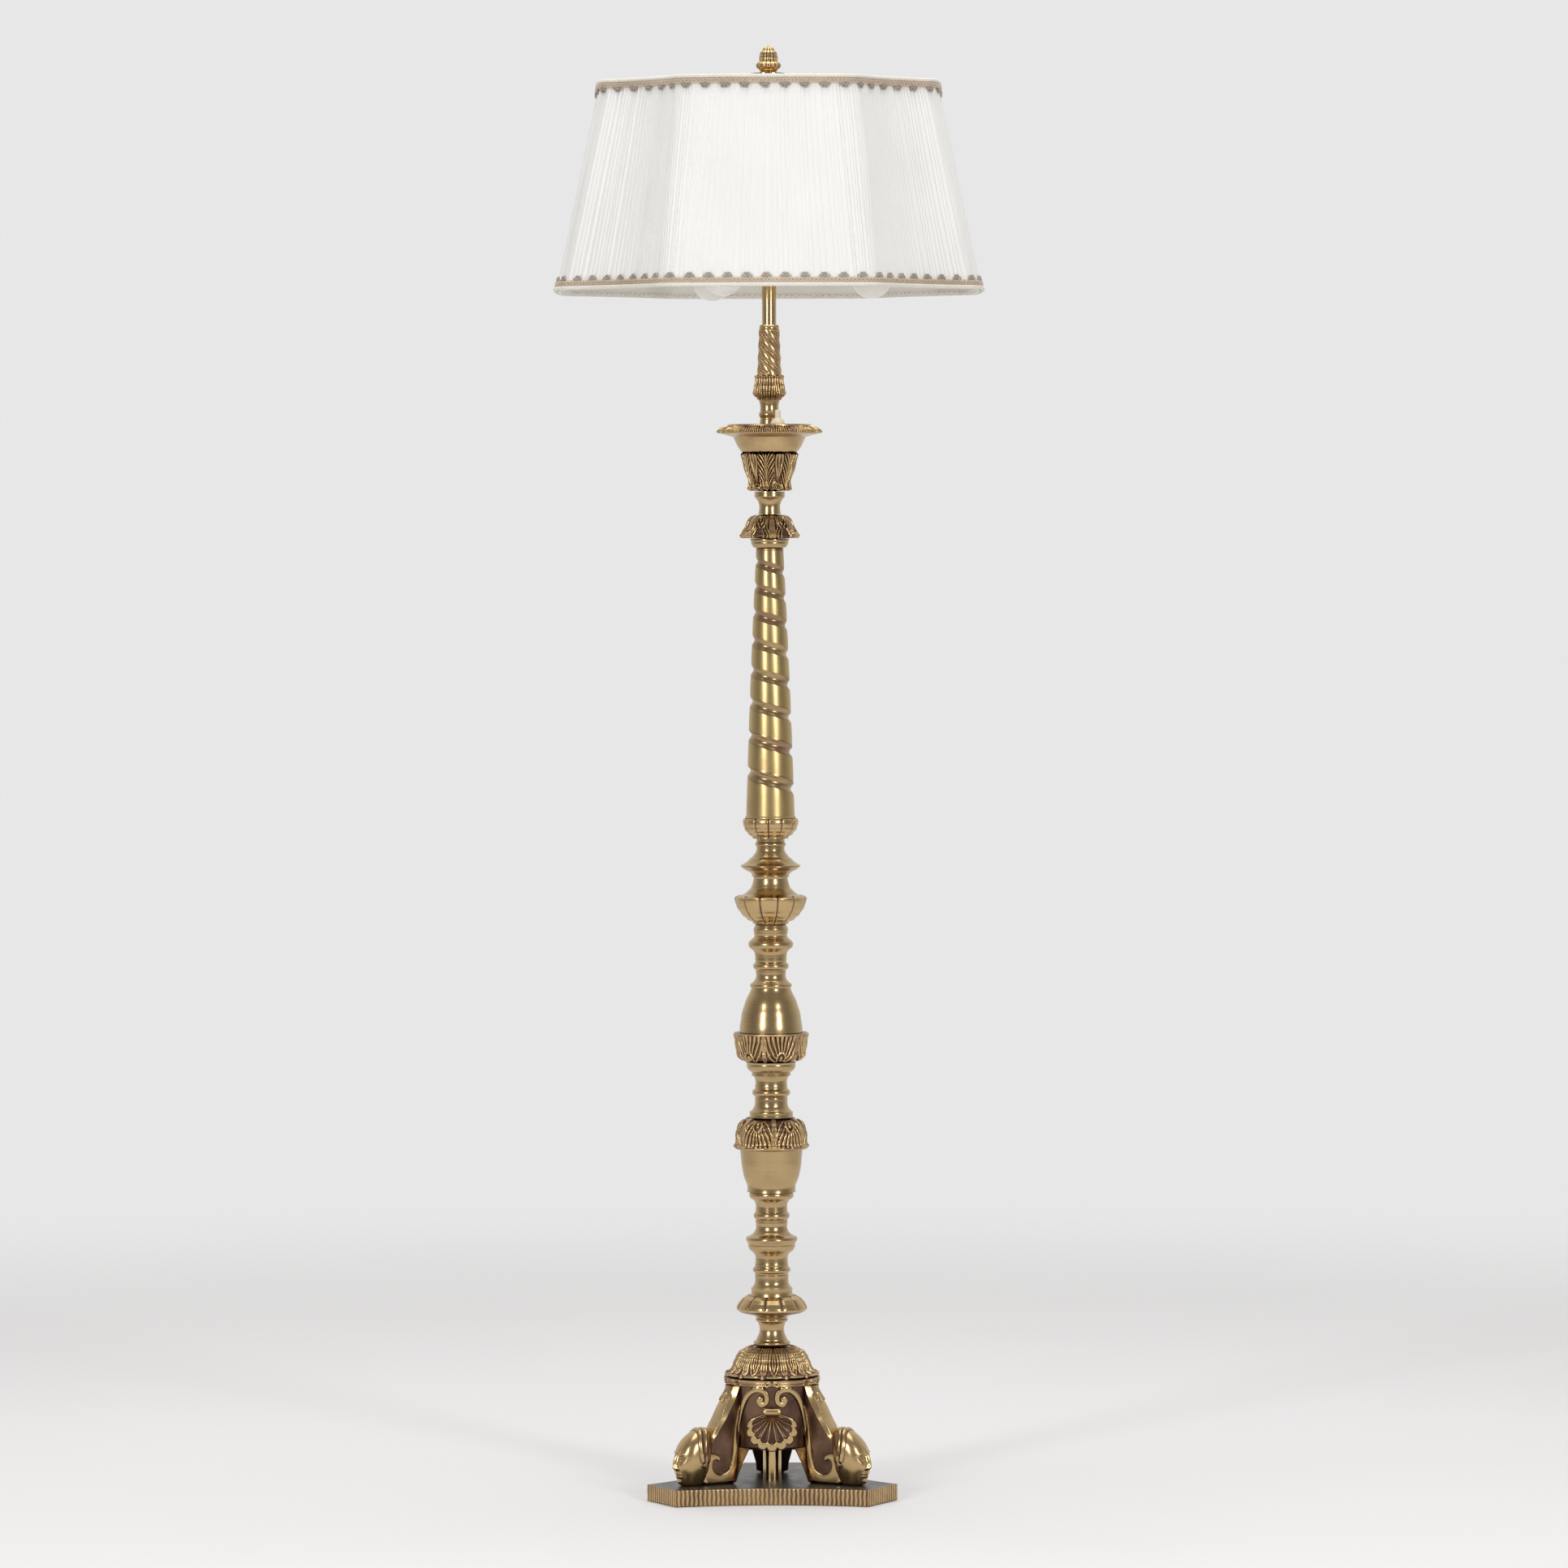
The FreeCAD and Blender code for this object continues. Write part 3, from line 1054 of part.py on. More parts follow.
# ---------------------------------------------------------------- the whole lamp
def build():
    """Make every piece and return the ones that are written."""
    fill_sheet()
    pieces = [base_plate(), cord_bush(), lock_nut()]
    plate_top = cell("plate_thickness")
    rod_bore = "%s + 2 * %s" % (cell("rod_diameter"), cell("rod_clearance"))
    pieces.append(sleeve("base_washer", cell("washer_diameter"), rod_bore, cell("washer_thickness"),
                         "%s - %s" % (cell("plate_recess_depth"), cell("washer_thickness"))))
    pieces += [tripod_casting(), foot_masks(), shell_panels()]
    pieces.append(sleeve("centre_tube", cell("tube_diameter"),
                         "%s - 2 * %s" % (cell("tube_diameter"), cell("tube_wall")),
                         "%s - %s" % (cell("tripod_rise"), cell("crown_deck")), plate_top))

    height = "%s + %s" % (plate_top, cell("tripod_rise"))
    for name in LOWER_STACK:
        if name == "spiral_column":
            piece = spiral_column()
        elif name == "drip_pan":
            piece = drip_pan()
        else:
            piece = turned(name)
        stand(piece, height)
        pieces.append(piece)
        height += " + " + rises(name)

    pan_floor = "%s - %s" % (height, cell("pan_dish_depth"))
    pieces += switch_pieces(pan_floor)
    height = pan_floor
    for name in ("stem_neck", "small_leaf_cup"):
        piece = turned(name)
        stand(piece, height)
        pieces.append(piece)
        height += " + " + rises(name)
    rope = rope_sleeve()
    stand(rope, height)
    height += " + " + cell("rope_rise")
    ring = turned("stem_ring")
    stand(ring, height)
    height += " + " + rises("stem_ring")
    pieces += [rope, ring, sleeve("upper_tube", cell("upper_tube_diameter"), rod_bore,
                                  cell("upper_tube_rise"), height)]
    height += " + " + cell("upper_tube_rise")

    hub = turned("cluster_hub")
    stand(hub, height)
    pieces += [hub, cluster_arms(height)]
    holder_top = "%s + %s - %s - %s" % (height, cell("arm_above_hub_foot"), cell("arm_bend"),
                                        cell("holder_below_arm"))
    holder_foot = "%s - %s" % (holder_top, cell("holder_rise"))
    pieces.append(lamp_holders(holder_foot))
    bulb_foot = "%s + %s + %s - %s - %s" % (holder_foot, cell("holder_skirt"), cell("socket_depth"),
                                            cell("socket_gap"), cell("bulb_length"))
    pieces += [opal_bulb(index + 1, bulb_foot) for index in range(len(cluster_bearings()))]

    hub_top = "%s + %s + %s" % (cell("shade_foot"), cell("shade_rise"), cell("spider_rise"))
    seat = "%s - %s - %s - %s" % (hub_top, cell("spider_hub_thickness"), cell("seat_gap"),
                                  cell("seat_nut_rise"))
    pieces.append(sleeve("shade_seat_nut", cell("seat_nut_diameter"), rod_bore,
                         cell("seat_nut_rise"), seat))
    pieces += shade_pieces()
    disc_foot = "%s + %s" % (hub_top, cell("seat_gap"))
    pieces.append(sleeve("cover_disc", cell("cover_disc_diameter"), rod_bore,
                         cell("cover_disc_thickness"), disc_foot))
    finial = turned("finial", blind="finial_thread_depth")
    finial_foot = "%s + %s + %s" % (disc_foot, cell("cover_disc_thickness"), cell("finial_clearance"))
    stand(finial, finial_foot)
    pieces.append(finial)
    rod_rise = "%s + %s - %s - %s" % (finial_foot, cell("finial_thread_depth"),
                                      cell("rod_tip_gap"), cell("rod_above_floor"))
    pieces.append(sleeve("centre_rod", cell("rod_diameter"), cell("rod_wire_bore"), rod_rise,
                         cell("rod_above_floor")))
    return pieces


def check(pieces):
    """Stop on any failed feature or unsound shape before anything is written."""
    doc.recompute()
    faults = [item.Name for item in doc.Objects
              if "Invalid" in item.State or "Error" in item.State]
    for piece in pieces:
        if piece.Shape.isNull() or not piece.Shape.isValid():
            faults.append(piece.Label)
    if faults:
        raise RuntimeError("unsound: " + ", ".join(faults))


lamp = build()
check(lamp)
os.makedirs("parts", exist_ok=True)
for piece in lamp:
    piece.Shape.exportStep(os.path.join("parts", piece.Label + ".step"))
    box = piece.Shape.BoundBox
    print("%-20s solids %d  z %8.2f to %8.2f  volume %.0f" % (
        piece.Label, len(piece.Shape.Solids), box.ZMin, box.ZMax, piece.Shape.Volume))
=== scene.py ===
import json
import math

import bmesh
import bpy
import numpy as np
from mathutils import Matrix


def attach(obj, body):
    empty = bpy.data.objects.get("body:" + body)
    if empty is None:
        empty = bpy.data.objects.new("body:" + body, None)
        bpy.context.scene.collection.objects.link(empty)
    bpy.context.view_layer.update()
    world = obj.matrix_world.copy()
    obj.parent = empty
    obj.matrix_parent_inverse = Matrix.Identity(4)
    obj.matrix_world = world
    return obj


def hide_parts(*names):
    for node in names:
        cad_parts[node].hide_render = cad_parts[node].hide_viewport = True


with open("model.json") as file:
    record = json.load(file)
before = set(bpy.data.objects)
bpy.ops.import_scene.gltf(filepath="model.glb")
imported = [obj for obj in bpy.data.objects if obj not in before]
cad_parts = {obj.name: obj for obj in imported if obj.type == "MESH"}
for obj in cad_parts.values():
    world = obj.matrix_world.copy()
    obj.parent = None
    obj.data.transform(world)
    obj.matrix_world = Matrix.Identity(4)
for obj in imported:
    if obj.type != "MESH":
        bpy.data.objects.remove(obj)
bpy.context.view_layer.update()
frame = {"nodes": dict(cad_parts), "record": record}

NODES = frame["nodes"]
FRONT = math.radians(270.0)
chance = np.random.default_rng(7)


# ---------------------------------------------------------------- shapes in millimetres
def grouped(faces):
    return faces if isinstance(faces, list) else [faces]


def piece(name, points, faces, material, node=None, body="standard",
          tones=None, crease=50.0):
    """One closed mesh. Points are in millimetres, faces are arrays of three or four corners."""
    mesh = bpy.data.meshes.new(name)
    points = np.asarray(points, float).reshape(-1, 3)
    groups = [np.asarray(group, int) for group in grouped(faces)]
    corners = np.concatenate([group.ravel() for group in groups])
    sizes = np.concatenate([np.full(len(group), group.shape[1]) for group in groups])
    mesh.vertices.add(len(points))
    mesh.vertices.foreach_set("co", (points / 1000.0).ravel())
    mesh.loops.add(len(corners))
    mesh.loops.foreach_set("vertex_index", corners)
    mesh.polygons.add(len(sizes))
    mesh.polygons.foreach_set("loop_start", np.concatenate([[0], np.cumsum(sizes)[:-1]]))
    mesh.update(calc_edges=True)
    mesh.validate()
    mesh.shade_smooth()
    if crease:
        mesh.set_sharp_from_angle(angle=math.radians(crease))
    if tones is not None:
        layer = mesh.attributes.new("recess", "FLOAT", "POINT")
        layer.data.foreach_set("value", np.asarray(tones, float).ravel())
    mesh.materials.append(material)
    thing = bpy.data.objects.new(name, mesh)
    bpy.context.scene.collection.objects.link(thing)
    if node:
        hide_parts(node)
    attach(thing, body)
    return thing


def net(rows, columns, rows_meet=True):
    """Faces of a grid whose columns run all the way round, and whose rows do too if they meet."""
    row = np.arange(rows if rows_meet else rows - 1)[:, None]
    column = np.arange(columns)[None, :]
    above, beside = (row + 1) % rows, (column + 1) % columns
    return np.stack([row * columns + column, row * columns + beside,
                     above * columns + beside, above * columns + column], -1).reshape(-1, 4)


def directions(bearing):
    """The unit vector along a bearing and the one to its left."""
    out = np.array([math.cos(bearing), math.sin(bearing)])
    return out, np.array([-out[1], out[0]])


def standing(reach, side, level, bearing):
    """Points given by their reach along a bearing, their distance to its left and their height."""
    out, aside = directions(bearing)
    return np.stack([reach * out[0] + side * aside[0], reach * out[1] + side * aside[1], level + 0.0 * reach], -1)


def capped(rows, columns):
    """Faces of a grid with closed columns, ended by one point below its first row and one above its last."""
    low, high = rows * columns, rows * columns + 1
    column = np.arange(columns)
    beside = (column + 1) % columns
    last = (rows - 1) * columns
    return [net(rows, columns, False),
            np.stack([np.full(columns, low), beside, column], -1),
            np.stack([np.full(columns, high), last + column, last + beside], -1)]


def closed_grid(points, ends, tones, end_tones):
    """A grid ended by two points, as one shape: its points, its faces and its tones."""
    return (np.concatenate([points.reshape(-1, 3), ends]), capped(*points.shape[:2]),
            np.append(tones.ravel(), end_tones))


def merged(parts):
    """Several (points, faces, tones) joined into one."""
    points, faces, tones, start = [], [], [], 0
    for some, groups, shade in parts:
        some = np.asarray(some, float).reshape(-1, 3)
        points.append(some)
        faces += [group + start for group in grouped(groups)]
        tones.append(np.broadcast_to(np.asarray(shade, float).ravel(), (len(some),)))
        start += len(some)
    fours = [group for group in faces if group.shape[1] == 4]
    threes = [group for group in faces if group.shape[1] == 3]
    kept = [np.concatenate(group) for group in (fours, threes) if group]
    return np.concatenate(points), kept, np.concatenate(tones)


def flowing(knots, pieces=5):
    """A smooth line through its knots."""
    knots = np.asarray(knots, float)
    if len(knots) < 3:
        return knots
    padded = np.concatenate([[2 * knots[0] - knots[1]], knots, [2 * knots[-1] - knots[-2]]])
    share = (np.arange(pieces) / pieces)[:, None]
    runs = []
    for a, b, c, d in zip(padded[:-3], padded[1:-2], padded[2:-1], padded[3:]):
        runs.append(0.5 * (2 * b + (c - a) * share + (2 * a - 5 * b + 4 * c - d) * share ** 2
                           + (3 * b - a - 3 * c + d) * share ** 3))
    return np.concatenate(runs + [knots[-1:]])


def carved(across, along, strands):
    """Height from 0 to 1 of rounded strands, each given as knots of (across, along, half width, height)."""
    best = np.zeros(np.broadcast(across, along).shape)
    for strand in strands:
        line = flowing(strand)
        for a, b in zip(line[:-1], line[1:]):
            run = b - a
            share = unit(((across - a[0]) * run[0] + (along - a[1]) * run[1]) / (run[0] ** 2 + run[1] ** 2 + 1e-9))
            gap = (across - a[0] - share * run[0]) ** 2 + (along - a[1] - share * run[1]) ** 2
            half = a[2] + share * run[2]
            dome = np.sqrt(unit(1.0 - gap / np.maximum(half, 0.05) ** 2))
            np.maximum(best, (a[3] + share * run[3]) * dome, out=best)
    return best


def both_ways(strands):
    """The strands and their mirror images."""
    return list(strands) + [[(-knot[0],) + tuple(knot[1:]) for knot in strand] for strand in strands]


def unit(value):
    return np.clip(value, 0.0, 1.0)


def step_up(value, low, high):
    """A smooth step from 0 at the low value to 1 at the high one."""
    share = unit((value - low) / (high - low))
    return share * share * (3.0 - 2.0 * share)


def hump(value, middle, half):
    """A soft bump of height 1."""
    return np.exp(-((value - middle) / half) ** 2)


def rounded(value, middle, half):
    """A round bump of height 1 that ends at half its width on either side."""
    return np.sqrt(unit(1.0 - ((value - middle) / half) ** 2))


def round_trip(line):
    """How far along a closed line each point is, and the whole length."""
    run = np.concatenate([[0.0], np.cumsum(np.linalg.norm(np.diff(line, axis=0), axis=1))])
    return run, run[-1] + np.linalg.norm(line[0] - line[-1])


def outward_of(line, span):
    """The outward direction at each point of a closed flat line."""
    ahead = np.roll(line, -span, 0) - np.roll(line, span, 0)
    return np.stack([ahead[:, 1], -ahead[:, 0]], -1) / np.linalg.norm(ahead, axis=1)[:, None]


def silhouette(node, step=0.4):
    """Radius and height of a turned node's outside, read from its mesh and spaced evenly along it."""
    mesh = NODES[node].data
    spots = np.empty(len(mesh.vertices) * 3)
    mesh.vertices.foreach_get("co", spots)
    spots = spots.reshape(-1, 3) * 1000.0
    ends = np.empty(len(mesh.edges) * 2, int)
    mesh.edges.foreach_get("vertices", ends)
    ends = ends.reshape(-1, 2)
    reach, rise = np.hypot(spots[:, 0], spots[:, 1])[ends], spots[:, 2][ends]
    lower, upper = rise.min(1), rise.max(1)
    low, high = lower.min(), upper.max()
    levels = np.linspace(low + 0.03, high - 0.03, int((high - low) / 0.3))
    radii = []
    for level in levels:
        hit = np.flatnonzero((lower <= level) & (upper > level))
        share = (level - rise[hit, 0]) / (rise[hit, 1] - rise[hit, 0])
        radii.append((reach[hit, 0] + share * (reach[hit, 1] - reach[hit, 0])).max())
    levels[0], levels[-1] = low, high
    return evenly(np.array(radii), levels, step)


def evenly(radii, levels, step):
    """A line resampled at an even step: its radii, its heights and the length along it."""
    length = np.concatenate([[0], np.cumsum(np.hypot(np.diff(radii), np.diff(levels)))])
    places = np.linspace(0, length[-1], max(int(length[-1] / step), 8))
    return np.interp(places, length, radii), np.interp(places, length, levels), places


def turned(name, section, relief, sectors, centre, depth, material, bore=6.0, columns=720,
           body="standard", node=None, tone=None, crease=50.0):
    """A turned piece with the same relief on each sector. relief(across, along) gives its height,
    0 in the hollows and 1 on the outline, over one sector in millimetres from the sector's middle."""
    radii, levels, places = section
    share = columns // sectors
    columns = share * sectors
    one_sector = (len(radii), share)
    angle = ((np.arange(share) + 0.5) / share - 0.5) * math.tau / sectors
    across, along = angle[None, :] * radii.max(), places[:, None]
    height = np.broadcast_to(np.clip(relief(across, along), -1.0, 1.6), one_sector)
    shade = 0.74 * unit(1.0 - height) if tone is None else tone(across, along, height)
    lean = np.stack([np.gradient(levels), -np.gradient(radii)])
    lean /= np.hypot(*lean)
    sunk = depth * (np.tile(height, (1, sectors)) - 1.0)
    reach = radii[:, None] + lean[0][:, None] * sunk
    rise = levels[:, None] + lean[1][:, None] * sunk
    shade = np.tile(np.broadcast_to(shade, one_sector), (1, sectors))
    hole = np.full(columns, bore)
    reach = np.vstack([reach, reach[-1] - 0.5, hole, hole, reach[0] - 0.5])
    rise = np.vstack([rise, rise[-1], 0.0 * hole + levels[-1], 0.0 * hole + levels[0], rise[0]])
    shade = np.vstack([shade, np.full((4, columns), 0.6)])
    bearing = FRONT + math.radians(centre) - math.pi / sectors + (np.arange(columns) + 0.5) * (math.tau / columns)
    points = np.stack([reach * np.cos(bearing), reach * np.sin(bearing), rise], -1)
    return piece(name, points, net(*reach.shape), material, node, body, tones=shade, crease=crease)


def tiled(strands, pitch, ground=None):
    """Relief of carved strands repeated at a pitch, over a ground height where one is given."""
    def relief(across, along):
        height = np.zeros((along.shape[0], across.shape[1]))
        for shift in (-pitch, 0.0, pitch):
            np.maximum(height, carved(across + shift, along, strands), out=height)
        return height if ground is None else np.maximum(height, ground(across, along))
    return relief


def ornament(name, node, sectors, centre, strands, depth, material, ground=None, **more):
    """Carved strands tiled round a turned node."""
    section = silhouette(node)
    relief = tiled(strands, math.tau / sectors * section[0].max(), ground)
    return turned(name, section, relief, sectors, centre, depth, material, node=node, **more)


def tube(path, half, sides, closed=False):
    """A round strand along a path, closed into a ring or ended with blunt tips."""
    path = np.asarray(path, float)
    half = np.asarray(half, float)
    half = half if half.ndim == 2 else np.broadcast_to(half[..., None], (len(path), sides))
    ahead = np.roll(path, -1, 0) - np.roll(path, 1, 0) if closed else np.gradient(path, axis=0)
    ahead /= np.linalg.norm(ahead, axis=1)[:, None] + 1e-9
    up = np.where(np.abs(ahead[:, 2:3]) > 0.9, np.array([[1.0, 0.0, 0.0]]), np.array([[0.0, 0.0, 1.0]]))
    side = np.cross(ahead, up)
    side /= np.linalg.norm(side, axis=1)[:, None] + 1e-9
    over = np.cross(side, ahead)
    turn = np.arange(sides) / sides * math.tau
    ring = np.cos(turn)[None, :, None] * side[:, None] + np.sin(turn)[None, :, None] * over[:, None]
    points = path[:, None] + half[:, :, None] * ring
    if closed:
        return points.reshape(-1, 3), net(len(path), sides)[:, ::-1], 0.0
    ends = np.stack([path[0] - ahead[0] * half[0].mean() * 0.6, path[-1] + ahead[-1] * half[-1].mean() * 0.6])
    return np.concatenate([points.reshape(-1, 3), ends]), [group[:, ::-1] for group in capped(len(path), sides)], 0.0


# ---------------------------------------------------------------- finishes
class Nodes:
    """The node tree of a material or of the world, built by name."""

    def __init__(self, name, world=False):
        self.owner = bpy.data.worlds.new(name) if world else bpy.data.materials.new(name)
        self.owner.use_nodes = True
        self.tree = self.owner.node_tree
        self.shader = self.tree.nodes["Background" if world else "Principled BSDF"]

    def fill(self, target, value):
        if isinstance(value, bpy.types.NodeSocket):
            self.tree.links.new(value, target)
        else:
            target.default_value = value

    def add(self, kind, values=None, **settings):
        node = self.tree.nodes.new("ShaderNode" + kind)
        for key, value in settings.items():
            setattr(node, key, value)
        for socket, value in (values or {}).items():
            self.fill(node.inputs[socket], value)
        return node

    def ramp(self, factor, stops):
        node = self.add("ValToRGB", {"Fac": factor})
        strip = node.color_ramp
        while len(strip.elements) < len(stops):
            strip.elements.new(0.5)
        for element, (place, colour) in zip(strip.elements, stops):
            element.position = place
            element.color = (*colour, 1.0)
        return node.outputs["Color"]

    def maths(self, operation, first, second):
        return self.add("Math", {0: first, 1: second}, operation=operation).outputs[0]

    def blend(self, factor, first, second):
        """From the first colour, which comes from another node, to the second one."""
        return self.add("Mix", {0: factor, 6: first, 7: (*second, 1.0)}, data_type="RGBA").outputs[2]

    def spread(self, value, low, high, out_low=0.0, out_high=1.0, **settings):
        return self.add("MapRange", {"Value": value, "From Min": low, "From Max": high,
                                     "To Min": out_low, "To Max": out_high}, **settings).outputs[0]

    def noise(self, where, scale, detail=4.0, rough=0.55):
        return self.add("TexNoise", {"Vector": where, "Scale": scale, "Detail": detail,
                                     "Roughness": rough}).outputs["Fac"]

    def place(self, stretch=None):
        where = self.add("TexCoord").outputs["Object"]
        return self.add("Mapping", {"Vector": where, "Scale": stretch}).outputs["Vector"] if stretch else where

    def bump(self, height, distance, strength, under=None):
        values = {"Height": height, "Distance": distance, "Strength": strength}
        if under is not None:
            values["Normal"] = under
        return self.add("Bump", values).outputs["Normal"]

    def finish(self, **sockets):
        for socket, value in sockets.items():
            self.fill(self.shader.inputs[socket.replace("_", " ").title().replace("Ior", "IOR")], value)
        return self.owner


def brass(name, bright, middle, deep, shine=0.22, dull=0.34, grime_and_shade=1.0, streaks=0.0, hollows=True):
    """Gilded brass: bright where it is rubbed, mauve brown in shallow hollows, dark in the deep ones, and darkened by
    painted shade where ambient occlusion finds creases and joints between parts.
    """
    made = Nodes(name)
    where = made.place()
    blotch = made.noise(where, 30.0, 4.0)
    speck = made.noise(where, 300.0, 3.0, 0.6)
    # Painted shade: ambient occlusion darkens creases, grooves and the joints between parts; it is mixed below with
    # the patina read from the recess attribute.
    shelter = made.add("AmbientOcclusion", {"Distance": 0.004}, samples=5).outputs["AO"]
    dirt_and_shade = made.spread(shelter, 0.6, 0.1, 0.0, 0.5 * grime_and_shade)
    if hollows:
        sunk = made.add("Attribute", attribute_name="recess", attribute_type="GEOMETRY").outputs["Fac"]
        dirt_and_shade = made.maths("MAXIMUM", dirt_and_shade, made.maths("MULTIPLY", sunk, grime_and_shade))
    wear_and_shade = made.maths("ADD", dirt_and_shade, made.spread(blotch, 0.40, 0.70, -0.04, 0.20))
    wear_and_shade = made.maths("ADD", wear_and_shade, made.spread(speck, 0.5, 0.8, 0.0, 0.06))
    grain = made.bump(speck, 0.00003, 0.3)
    if streaks:
        turning = made.noise(made.place((8.0, 8.0, 700.0)), 1.0, 2.0)
        wear_and_shade = made.maths("ADD", wear_and_shade, made.spread(turning, 0.4, 0.7, 0.0, streaks))
        grain = made.bump(turning, 0.000012, 0.3, grain)
    colour = made.ramp(wear_and_shade, ((0.0, bright), (0.16, bright), (0.48, middle), (0.95, deep)))
    rough = made.maths("ADD", made.spread(dirt_and_shade, 0.0, 0.8, shine, dull), made.spread(blotch, 0.3, 0.7, -0.03, 0.05))
    return made.finish(base_color=colour, metallic=1.0, roughness=rough, normal=grain)


GOLD = (0.54, 0.385, 0.19)
TAN = (0.33, 0.207, 0.130)
UMBER = (0.088, 0.048, 0.036)
GILT = brass("gilded_brass", GOLD, TAN, UMBER, 0.24)
TURNED = brass("turned_brass", (0.49, 0.35, 0.18), (0.33, 0.215, 0.13), UMBER, 0.22, 0.36, 0.9, 0.20, False)
POLISHED = brass("polished_brass", (0.56, 0.40, 0.20), (0.38, 0.24, 0.135), UMBER, 0.15, 0.3, 0.7, 0.12, False)
COLUMN = brass("column_brass", (0.50, 0.37, 0.17), (0.33, 0.21, 0.125), UMBER, 0.33, 0.14, 0.8, 0.10)


def plain(name, colour, other, rough, scale=60.0, metallic=0.0, **more):
    """A plain finish with a slight change of colour and a fine surface."""
    made = Nodes(name)
    where = made.place()
    patch = made.noise(where, scale)
    fine = made.noise(where, scale * 14.0, 2.0)
    return made.finish(base_color=made.ramp(patch, ((0.35, colour), (0.68, other))), metallic=metallic,
                       roughness=made.spread(fine, 0.3, 0.7, rough - 0.05, rough + 0.05),
                       normal=made.bump(fine, 0.00005, 0.5), **more)


STEEL = plain("zinc_steel", (0.55, 0.55, 0.53), (0.45, 0.45, 0.44), 0.32, 90.0, 1.0)
BLACK = plain("black_plastic", (0.02, 0.02, 0.02), (0.035, 0.035, 0.034), 0.45)
CREAM = plain("cream_plastic", (0.80, 0.73, 0.54), (0.72, 0.64, 0.45), 0.32)
OPAL = plain("opal_glass", (0.90, 0.88, 0.82), (0.84, 0.82, 0.76), 0.18, 30.0, coat_weight=0.5, coat_roughness=0.08)
WIRE = plain("white_wire", (0.80, 0.79, 0.75), (0.70, 0.68, 0.63), 0.4)
FINISH = {"antique_brass": TURNED, "polished_brass": POLISHED, "dark_plate": TURNED, "steel": STEEL,
          "black_plastic": BLACK, "cream_plastic": CREAM, "opal_glass": OPAL, "white_wire": WIRE}
for part in frame["record"]["subparts"]:
    finish = FINISH.get(part["material_slot"])
    if finish:
        for place in NODES[part["node"]].material_slots:
            place.material = finish


# ---------------------------------------------------------------- plain turnings of the stem
def polished_section(node):
    """A turned node's outline with its gentle curves evened out and its sharp corners kept."""
    step, blur, window = 0.4, 2.4, 18
    radii, levels, _ = silhouette(node, step)
    weight = np.exp(-(np.arange(-window, window + 1) * step / blur) ** 2 / 2.0)
    weight /= weight.sum()
    soft = []
    for line in (radii, levels):
        before, after = 2 * line[0] - line[window:0:-1], 2 * line[-1] - line[-2:-window - 2:-1]
        soft.append(np.convolve(np.concatenate([before, line, after]), weight, "valid"))
    moved = np.hypot(soft[0] - radii, soft[1] - levels)
    kept = step_up(np.convolve(np.pad(moved, 2, "edge"), np.full(5, 0.2), "valid"), 0.16, 0.34)
    return evenly(soft[0] + kept * (radii - soft[0]), soft[1] + kept * (levels - soft[1]), 0.6)


def smooth(across, along):
    return 1.0 + 0.0 * (across + along)


for node in ("neck_waist", "lower_baluster", "lower_vase", "middle_baluster", "upper_vase", "ringed_baluster",
             "saddle", "candle_neck", "stem_neck"):
    turned("smooth_" + node, polished_section(node), smooth, 12, 0, 0.1, TURNED, columns=240, node=node, crease=35)


# ---------------------------------------------------------------- carved turnings of the stem
def lobes(across, along):
    """Plain lobes that meet in a thin groove at the sector's edges."""
    return 1.0 - (np.abs(across) / np.abs(across).max()) ** 10 + 0.0 * along


# The strands that follow are knots of (across, along, half width, height), in millimetres from the middle of
# a leaf and up from the foot of the piece.
BELL = both_ways([
    [(1.1, 29.5, .4, .6), (4.1, 27.5, 1.1, .95), (4.7, 22.5, 1.2, 1), (2.6, 19.0, .9, .8)],
    [(0.8, 32.8, .4, .5), (6.0, 30.5, 1.1, .9), (7.9, 24.0, 1.3, 1), (7.2, 18.5, 1.2, 1), (4.6, 15.6, .9, .8)],
    [(6.0, 16.8, .9, .8), (8.6, 11.5, 1.3, 1), (11.6, 6.5, 1.4, 1), (10.6, 1.2, 1.2, .95)],
    [(3.8, 15.4, .8, .8), (5.6, 10.5, 1.2, .95), (7.4, 5.5, 1.3, 1), (6.2, 1.0, 1.1, .9)],
    [(11.4, 35, .9, .7), (11.0, 25, 1.3, 1), (10.2, 17, 1.3, 1), (13.0, 10, 1.3, 1), (16.2, 5, 1.4, 1),
     (15.4, 1, 1.1, .9)],
    [(9.4, 34, .6, .6), (9.6, 26, .9, .9), (8.8, 20, .8, .7)],
    [(2.9, 20.6, 1.2, .9), (2.4, 20.0, 1.2, .9)],
]) + [[(0, 28.4, 1.6, .9), (0, 24.8, 1.4, 1)], [(0, 17.6, 1.5, 1), (0, 16.8, 1.4, 1)]]


def bell_ground(across, along):
    panel = step_up(np.abs(across), 11.6, 14.0)
    return panel * (0.62 + 0.34 * hump(along, 7.0, 2.6)) - 0.35 * hump(along, 11.5, 0.9) * panel


ornament("carved_leaf_bell", "leaf_bell", 6, -24, BELL, 2.3, GILT, bell_ground)

